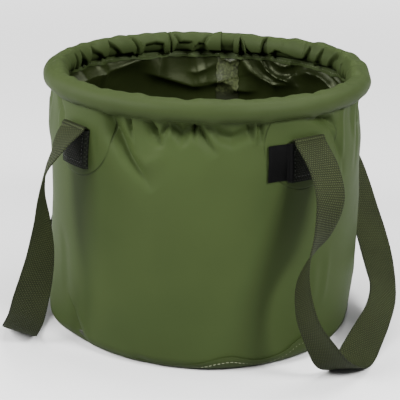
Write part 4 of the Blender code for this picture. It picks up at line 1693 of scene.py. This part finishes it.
@dataclass
class SideTag:
    """The plain woven tag beside the right handle's front patch, whose edge it laps over."""

    patch: Patch
    width: float = 0.0203
    height: float = 0.0288
    thickness: float = 0.0006
    start: float = -0.0353
    rest: float = 0.0006
    drop: float = 0.0006
    lap: float = 0.0016
    curl: float = 0.0010
    curl_reach: float = 0.009

    def build(self, finish: bpy.types.Material) -> None:
        """Build the tag.

        Args:
            finish: The tag's finish.
        """
        aside, down = np.meshgrid(np.linspace(0, self.width, 60), np.linspace(0, self.height, 40))
        across = self.start + aside
        azimuth, height = self.patch.spread(across), PATCH_TOP - self.drop - down
        curl = self.curl * smooth(1 - aside / self.curl_reach) + 0.0003 * np.sin(down / 0.006)
        side = self.patch.sides[0]
        near = smooth((across - side + self.lap) / self.lap)
        over = self.patch.face(np.maximum(across, side), down + self.drop) + 0.0002
        base = np.maximum(self.rest + curl, over * near)
        fold = self.thickness * (0.35 + 0.65 * smooth(aside / 0.0012))
        form = self.patch.form
        front = form.point(azimuth, height, base + fold)
        back = form.point(azimuth, height, base)
        tag = Sheet("side_tag", front, back).make([finish], np.stack([aside, down], -1))
        settle(tag, Body.RIM, "side_label")


@dataclass(frozen=True)
class Fall:
    """How a handle's webbing falls from its front fold round to its back fold.

    Each row is the azimuth from the handle's middle, the stand-off from the wall and the height in mm, the heading
    of the webbing's width from the handle's tangent, and the tilt of the width.
    """

    side: str
    middle: float
    front: Anchor
    back: Anchor
    way: float
    rows: tuple[tuple[float, float, float, float, float], ...]


RIGHT_FALL = Fall(
    "right", 83.0, ANCHORS[0], ANCHORS[1], 0.0,
    (
        (-47.2, 21, 174.5, -49, -6), (-48.3, 34, 154, -46, -13), (-51, 38, 130.5, -27, -18),
        (-54.4, 37, 108, 0, -12), (-56, 38, 84, 25, -8), (-55, 42, 59.5, 41, -10), (-51.4, 45, 37, 57, -16),
        (-47, 45, 17, 71, -21), (-40, 40, 5, 73.5, -13.5), (-32.4, 33, 4.5, 76, 12), (-24, 30, 13, 89, 37),
        (-16, 30, 23, 103, 44), (-8, 29, 34, 108, 35), (0, 25, 44, 108, 20), (8, 22, 56, 109, 8),
        (15.6, 20, 70, 112, 5), (22.7, 19, 86, 119, 5), (29, 19, 105, 128, 5), (34.4, 18, 126, 142.5, 6),
        (39.3, 15.5, 147, 170, 8.5), (44, 12.2, 171, 210, 4),
    ),
)
LEFT_FALL = Fall(
    "left", -97.0, ANCHORS[2], ANCHORS[3], 180.0,
    (
        (48.5, 18, 179, 211, -8), (48, 30, 162, 196, -11), (48, 35.5, 141, 185, -8), (48.6, 37, 118, 168, -6),
        (49, 39.5, 95.5, 149, -6), (48, 42, 73, 131, -7), (46, 44, 51, 115, -11), (43, 44, 30.5, 103, -17),
        (38, 43, 13, 94.5, -17), (28.2, 31, 4, 86, 2), (16, 21, 11.5, 66, 24), (2, 16, 28.7, 32, 38),
        (-10, 14, 52, 4, 42), (-21, 13, 79, -18, 40), (-31, 13, 110, -34, 33), (-39, 13, 142, -47, 20),
        (-44.6, 11, 170, -49, 5),
    ),
)


@dataclass
class Handle:
    """A handle: one length of webbing that hangs from the rim, folded over its patches and lying on the floor."""

    form: WallForm
    fall: Fall
    body: Body
    step: float = 0.0007
    fold_radius: float = 0.0022
    fold_height: float = 0.1913
    tail_offset: float = 0.00105
    floor_gap: float = 0.0004
    scallop: float = 0.0022
    scallop_depth: float = 0.00028
    cup: float = 0.0005
    bend_top: float = 0.1885
    bend_low: float = 0.150
    half_shares: tuple[float, ...] = (0, 0.2, 0.4, 0.55, 0.7, 0.84, 0.92, 0.97, 1)

    def width_way(self, middle: float, heading: float, tilt: float) -> np.ndarray:
        """The direction of the webbing's width."""
        turn, lean = math.radians(middle + heading), math.radians(tilt)
        return np.array([math.cos(turn) * math.cos(lean), math.sin(turn) * math.cos(lean), math.sin(lean)])

    def fold(self, anchor: Anchor, lean: float) -> np.ndarray:
        """A point of the webbing's middle on its fold over a patch.

        Args:
            anchor: Where the webbing is sewn on.
            lean: The angle round the fold, in degrees, from the outward side up.

        Returns:
            The point.
        """
        turn = math.radians(lean)
        out = self.tail_offset + self.fold_radius * (1 + math.cos(turn))
        rise = self.fold_radius * 1.25 * math.sin(turn)
        return self.form.point(anchor.azimuth, self.fold_height, out) + np.array([0, 0, rise])

    def rows(self) -> tuple[np.ndarray, np.ndarray]:
        """The places and width directions that the webbing runs through.

        Returns:
            The places, then the directions.
        """
        fall, sizes = self.fall, self.form.sizes
        places, ways = [], []
        for azimuth, stand_off, height, heading, tilt in fall.rows:
            radius = sizes.body_radius + 0.0004 + stand_off * MM
            places.append(at(fall.middle + azimuth, radius, height * MM))
            ways.append(self.width_way(fall.middle, heading, tilt))
        first = self.width_way(fall.front.azimuth, fall.way, 0)
        last = self.width_way(fall.back.azimuth, 180 - fall.way, 0)
        leans = (150, 110, 70, 30, 0)
        places = [self.fold(fall.front, lean) for lean in leans] + places
        places += [self.fold(fall.back, lean) for lean in leans[::-1]]
        ways = [first] * len(leans) + ways + [last] * len(leans)
        return np.array(places), np.array(ways)

    def run(self) -> tuple[np.ndarray, np.ndarray]:
        """The webbing's middle line and width directions at even steps.

        Returns:
            The points of the line, then the directions.
        """
        places, ways = self.rows()
        both = np.hstack([places, ways])
        spans = np.linalg.norm(np.diff(places, axis=0), axis=1)
        knots = np.r_[0, np.cumsum(spans**0.5)]
        slopes = np.zeros_like(both)
        before, after = np.diff(knots)[:-1, None], np.diff(knots)[1:, None]
        secants = np.diff(both, axis=0) / np.diff(knots)[:, None]
        slopes[1:-1] = (secants[:-1] * after + secants[1:] * before) / (before + after)
        slopes[0], slopes[-1] = secants[0], secants[-1]
        fine = np.linspace(0, knots[-1], 4000)
        span = np.clip(np.searchsorted(knots, fine, side="right") - 1, 0, len(knots) - 2)
        width = np.diff(knots)[span][:, None]
        t = ((fine - knots[span])[:, None]) / width
        curve = (
            (2 * t**3 - 3 * t**2 + 1) * both[span]
            + (t**3 - 2 * t**2 + t) * width * slopes[span]
            + (3 * t**2 - 2 * t**3) * both[span + 1]
            + (t**3 - t**2) * width * slopes[span + 1]
        )
        run = np.r_[0, np.cumsum(np.linalg.norm(np.diff(curve[:, :3], axis=0), axis=1))]
        even = np.linspace(0, run[-1], round(run[-1] / self.step) + 1)
        curve = np.stack([np.interp(even, run, curve[:, k]) for k in range(6)], -1)
        LOG.info("%s webbing: %.3f m from fold to fold", self.fall.side, run[-1])
        return curve[:, :3], curve[:, 3:]

    def build(self, finish: bpy.types.Material) -> None:
        """Build the webbing.

        Args:
            finish: The webbing's finish.
        """
        sizes = self.form.sizes
        middle, across = self.run()
        along = np.gradient(middle, axis=0)
        along /= np.linalg.norm(along, axis=1, keepdims=True)
        across = across - along * np.sum(across * along, axis=1, keepdims=True)
        across /= np.linalg.norm(across, axis=1, keepdims=True)
        face = np.cross(along, across)
        half = sizes.webbing_width / 2
        low = half * np.abs(across[:, 2]) + sizes.webbing / 2 * np.abs(face[:, 2]) + self.floor_gap
        middle[:, 2] = np.maximum(middle[:, 2], low)
        distance = np.arange(len(middle)) * self.step
        shares = np.array([*(-share for share in self.half_shares[:0:-1]), *self.half_shares])
        scallops = self.scallop_depth * np.abs(np.sin(math.pi * distance / self.scallop))[:, None]
        wave = scallops * smooth((np.abs(shares) - 0.8) / 0.2)
        aside = shares * half + np.sign(shares) * (wave - 0.0001)
        thin = sizes.webbing / 2 * (1 - 0.55 * smooth((np.abs(shares) - 0.86) / 0.14))
        cup = self.cup * (shares**2 - 0.4) * np.sin(distance / 0.045)[:, None]
        ribbon = middle[:, None] + across[:, None] * aside[..., None] + face[:, None] * cup[..., None]
        front = ribbon + face[:, None] * thin[None, :, None]
        back = ribbon - face[:, None] * thin[None, :, None]
        weave = np.stack([aside, np.broadcast_to(distance[:, None], aside.shape)], -1)
        name = self.fall.side + "_webbing"
        strap = Sheet(name, front, back).make([finish], weave)
        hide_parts(self.body.value + "_strap")
        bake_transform(strap)
        LOG.info("%s: %d faces between rim and %s", name, len(strap.data.polygons), self.body.value)


@dataclass(frozen=True)
class Softbox:
    """A square light that faces the bucket: its direction in degrees, its side in metres and its power in watts."""

    name: str
    azimuth: float
    elevation: float
    side: float
    power: float
    distance: float = 1.5
    aim: float = 0.1

    def build(self) -> None:
        """Build the light."""
        data = bpy.data.lights.new(self.name, "AREA")
        data.energy, data.size = self.power, self.side
        made = bpy.data.objects.new(self.name, data)
        rise = math.radians(self.elevation)
        place = Vector(at(self.azimuth, self.distance * math.cos(rise), self.aim + self.distance * math.sin(rise)))
        made.location = place
        made.rotation_euler = (Vector((0, 0, self.aim)) - place).to_track_quat("-Z", "Y").to_euler()
        bpy.context.scene.collection.objects.link(made)


@dataclass
class Studio:
    """The floor, the lights and the camera."""

    camera_place: tuple[float, float, float] = (-0.0016, -0.9775, 0.4438)
    pitch: float = 19.292
    yaw: float = 0.107
    roll: float = 1.4
    lens: float = 104.3
    sensor: float = 36.0
    floor_half: float = 14.0
    sky: float = 0.2
    softboxes: tuple[Softbox, ...] = (
        Softbox("right_softbox", 47, 38, 0.42, 53),
        Softbox("left_softbox", -50, 36, 0.6, 55),
        Softbox("right_edge_light", 112, 58, 0.8, 22),
        Softbox("left_edge_light", -98, 26, 0.8, 28),
        Softbox("top_softbox", 180, 80, 0.8, 26),
    )

    def camera(self) -> None:
        """Set up the camera at the photo's view."""
        data = bpy.data.cameras.new("camera")
        data.lens, data.sensor_width = self.lens, self.sensor
        made = bpy.data.objects.new("camera", data)
        turn = Matrix.Rotation(math.radians(self.yaw), 4, "Z")
        turn = turn @ Matrix.Rotation(math.radians(90 - self.pitch), 4, "X")
        turn = turn @ Matrix.Rotation(math.radians(self.roll), 4, "Z")
        made.matrix_world = Matrix.Translation(self.camera_place) @ turn
        bpy.context.scene.collection.objects.link(made)
        bpy.context.scene.camera = made

    def floor(self) -> None:
        """Lay the floor."""
        half = self.floor_half
        mesh = bpy.data.meshes.new("floor")
        mesh.from_pydata([(-half, -half, 0), (half, -half, 0), (half, half, 0), (-half, half, 0)], [], [(0, 1, 2, 3)])
        mesh.materials.append(StudioFloor().make())
        made = bpy.data.objects.new("floor", mesh)
        bpy.context.scene.collection.objects.link(made)

    def world(self) -> None:
        """Fill the studio with soft white light."""
        made = bpy.data.worlds.new("studio")
        made.use_nodes = True
        background = made.node_tree.nodes["Background"]
        background.inputs["Color"].default_value = (1, 1, 1, 1)
        background.inputs["Strength"].default_value = self.sky
        bpy.context.scene.world = made

    def build(self) -> None:
        """Build the floor, the light and the camera."""
        self.floor()
        self.world()
        for softbox in self.softboxes:
            softbox.build()
        self.camera()


def finish_hidden(frame: dict) -> None:
    """Give the CAD pieces that the hem hides their own finishes.
    """
    hidden = {
        "rim_hoop": Plastic("hoop_tube", (0.55, 0.56, 0.54), 0.35),
        "hoop_joiner": Plastic("joiner_plug", (0.03, 0.03, 0.03), 0.45),
    }
    for name, finish in hidden.items():
        node = frame["nodes"][name]
        node.data.materials.clear()
        node.data.materials.append(finish.make())
        LOG.info("%s: carried over with its own finish", name)


def main() -> None:
    """Build the bucket and its studio."""
    logging.basicConfig(level=logging.INFO, format="%(message)s")
    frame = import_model()
    sizes = Sizes.from_frame()
    form = WallForm(sizes)
    rings = tuple((anchor.azimuth, RING_HEIGHT) for anchor in ANCHORS)
    # Painted shade: the hem and the base take the wall's cloth in a darker colour.
    cloth = CoatedCloth(colour=(0.0174, 0.0256, 0.0078)).make()
    wall_cloth = CoatedCloth(name="olive_wall_cloth", rings=rings).make()
    lining = Lining().make()
    floor_lining = Lining("olive_floor_lining", upright=False).make()
    webbing = Webbing().make()
    black = Webbing(
        "black_webbing", (0.0036, 0.0044, 0.0027), painted_gap_shade=0.2, bead_width=0.0024, relief=0.0004, half_width=0.018
    ).make()
    thread = Thread().make()
    dark_thread = Thread("black_thread", (0.009, 0.010, 0.008)).make()
    tape = SealingTape().make()
    Wall(form).build(wall_cloth, lining, tape)
    Base(form).build(cloth, floor_lining, thread, tape)
    Rim(form).build(cloth, thread)
    for anchor in ANCHORS:
        Patch(form, anchor).build(black, dark_thread, webbing)
    SideTag(Patch(form, ANCHORS[0])).build(WovenTag().make())
    Handle(form, RIGHT_FALL, Body.RIGHT_HANDLE).build(webbing)
    Handle(form, LEFT_FALL, Body.LEFT_HANDLE).build(webbing)
    finish_hidden(frame)
    Studio().build()


if __name__ == "__main__":
    main()
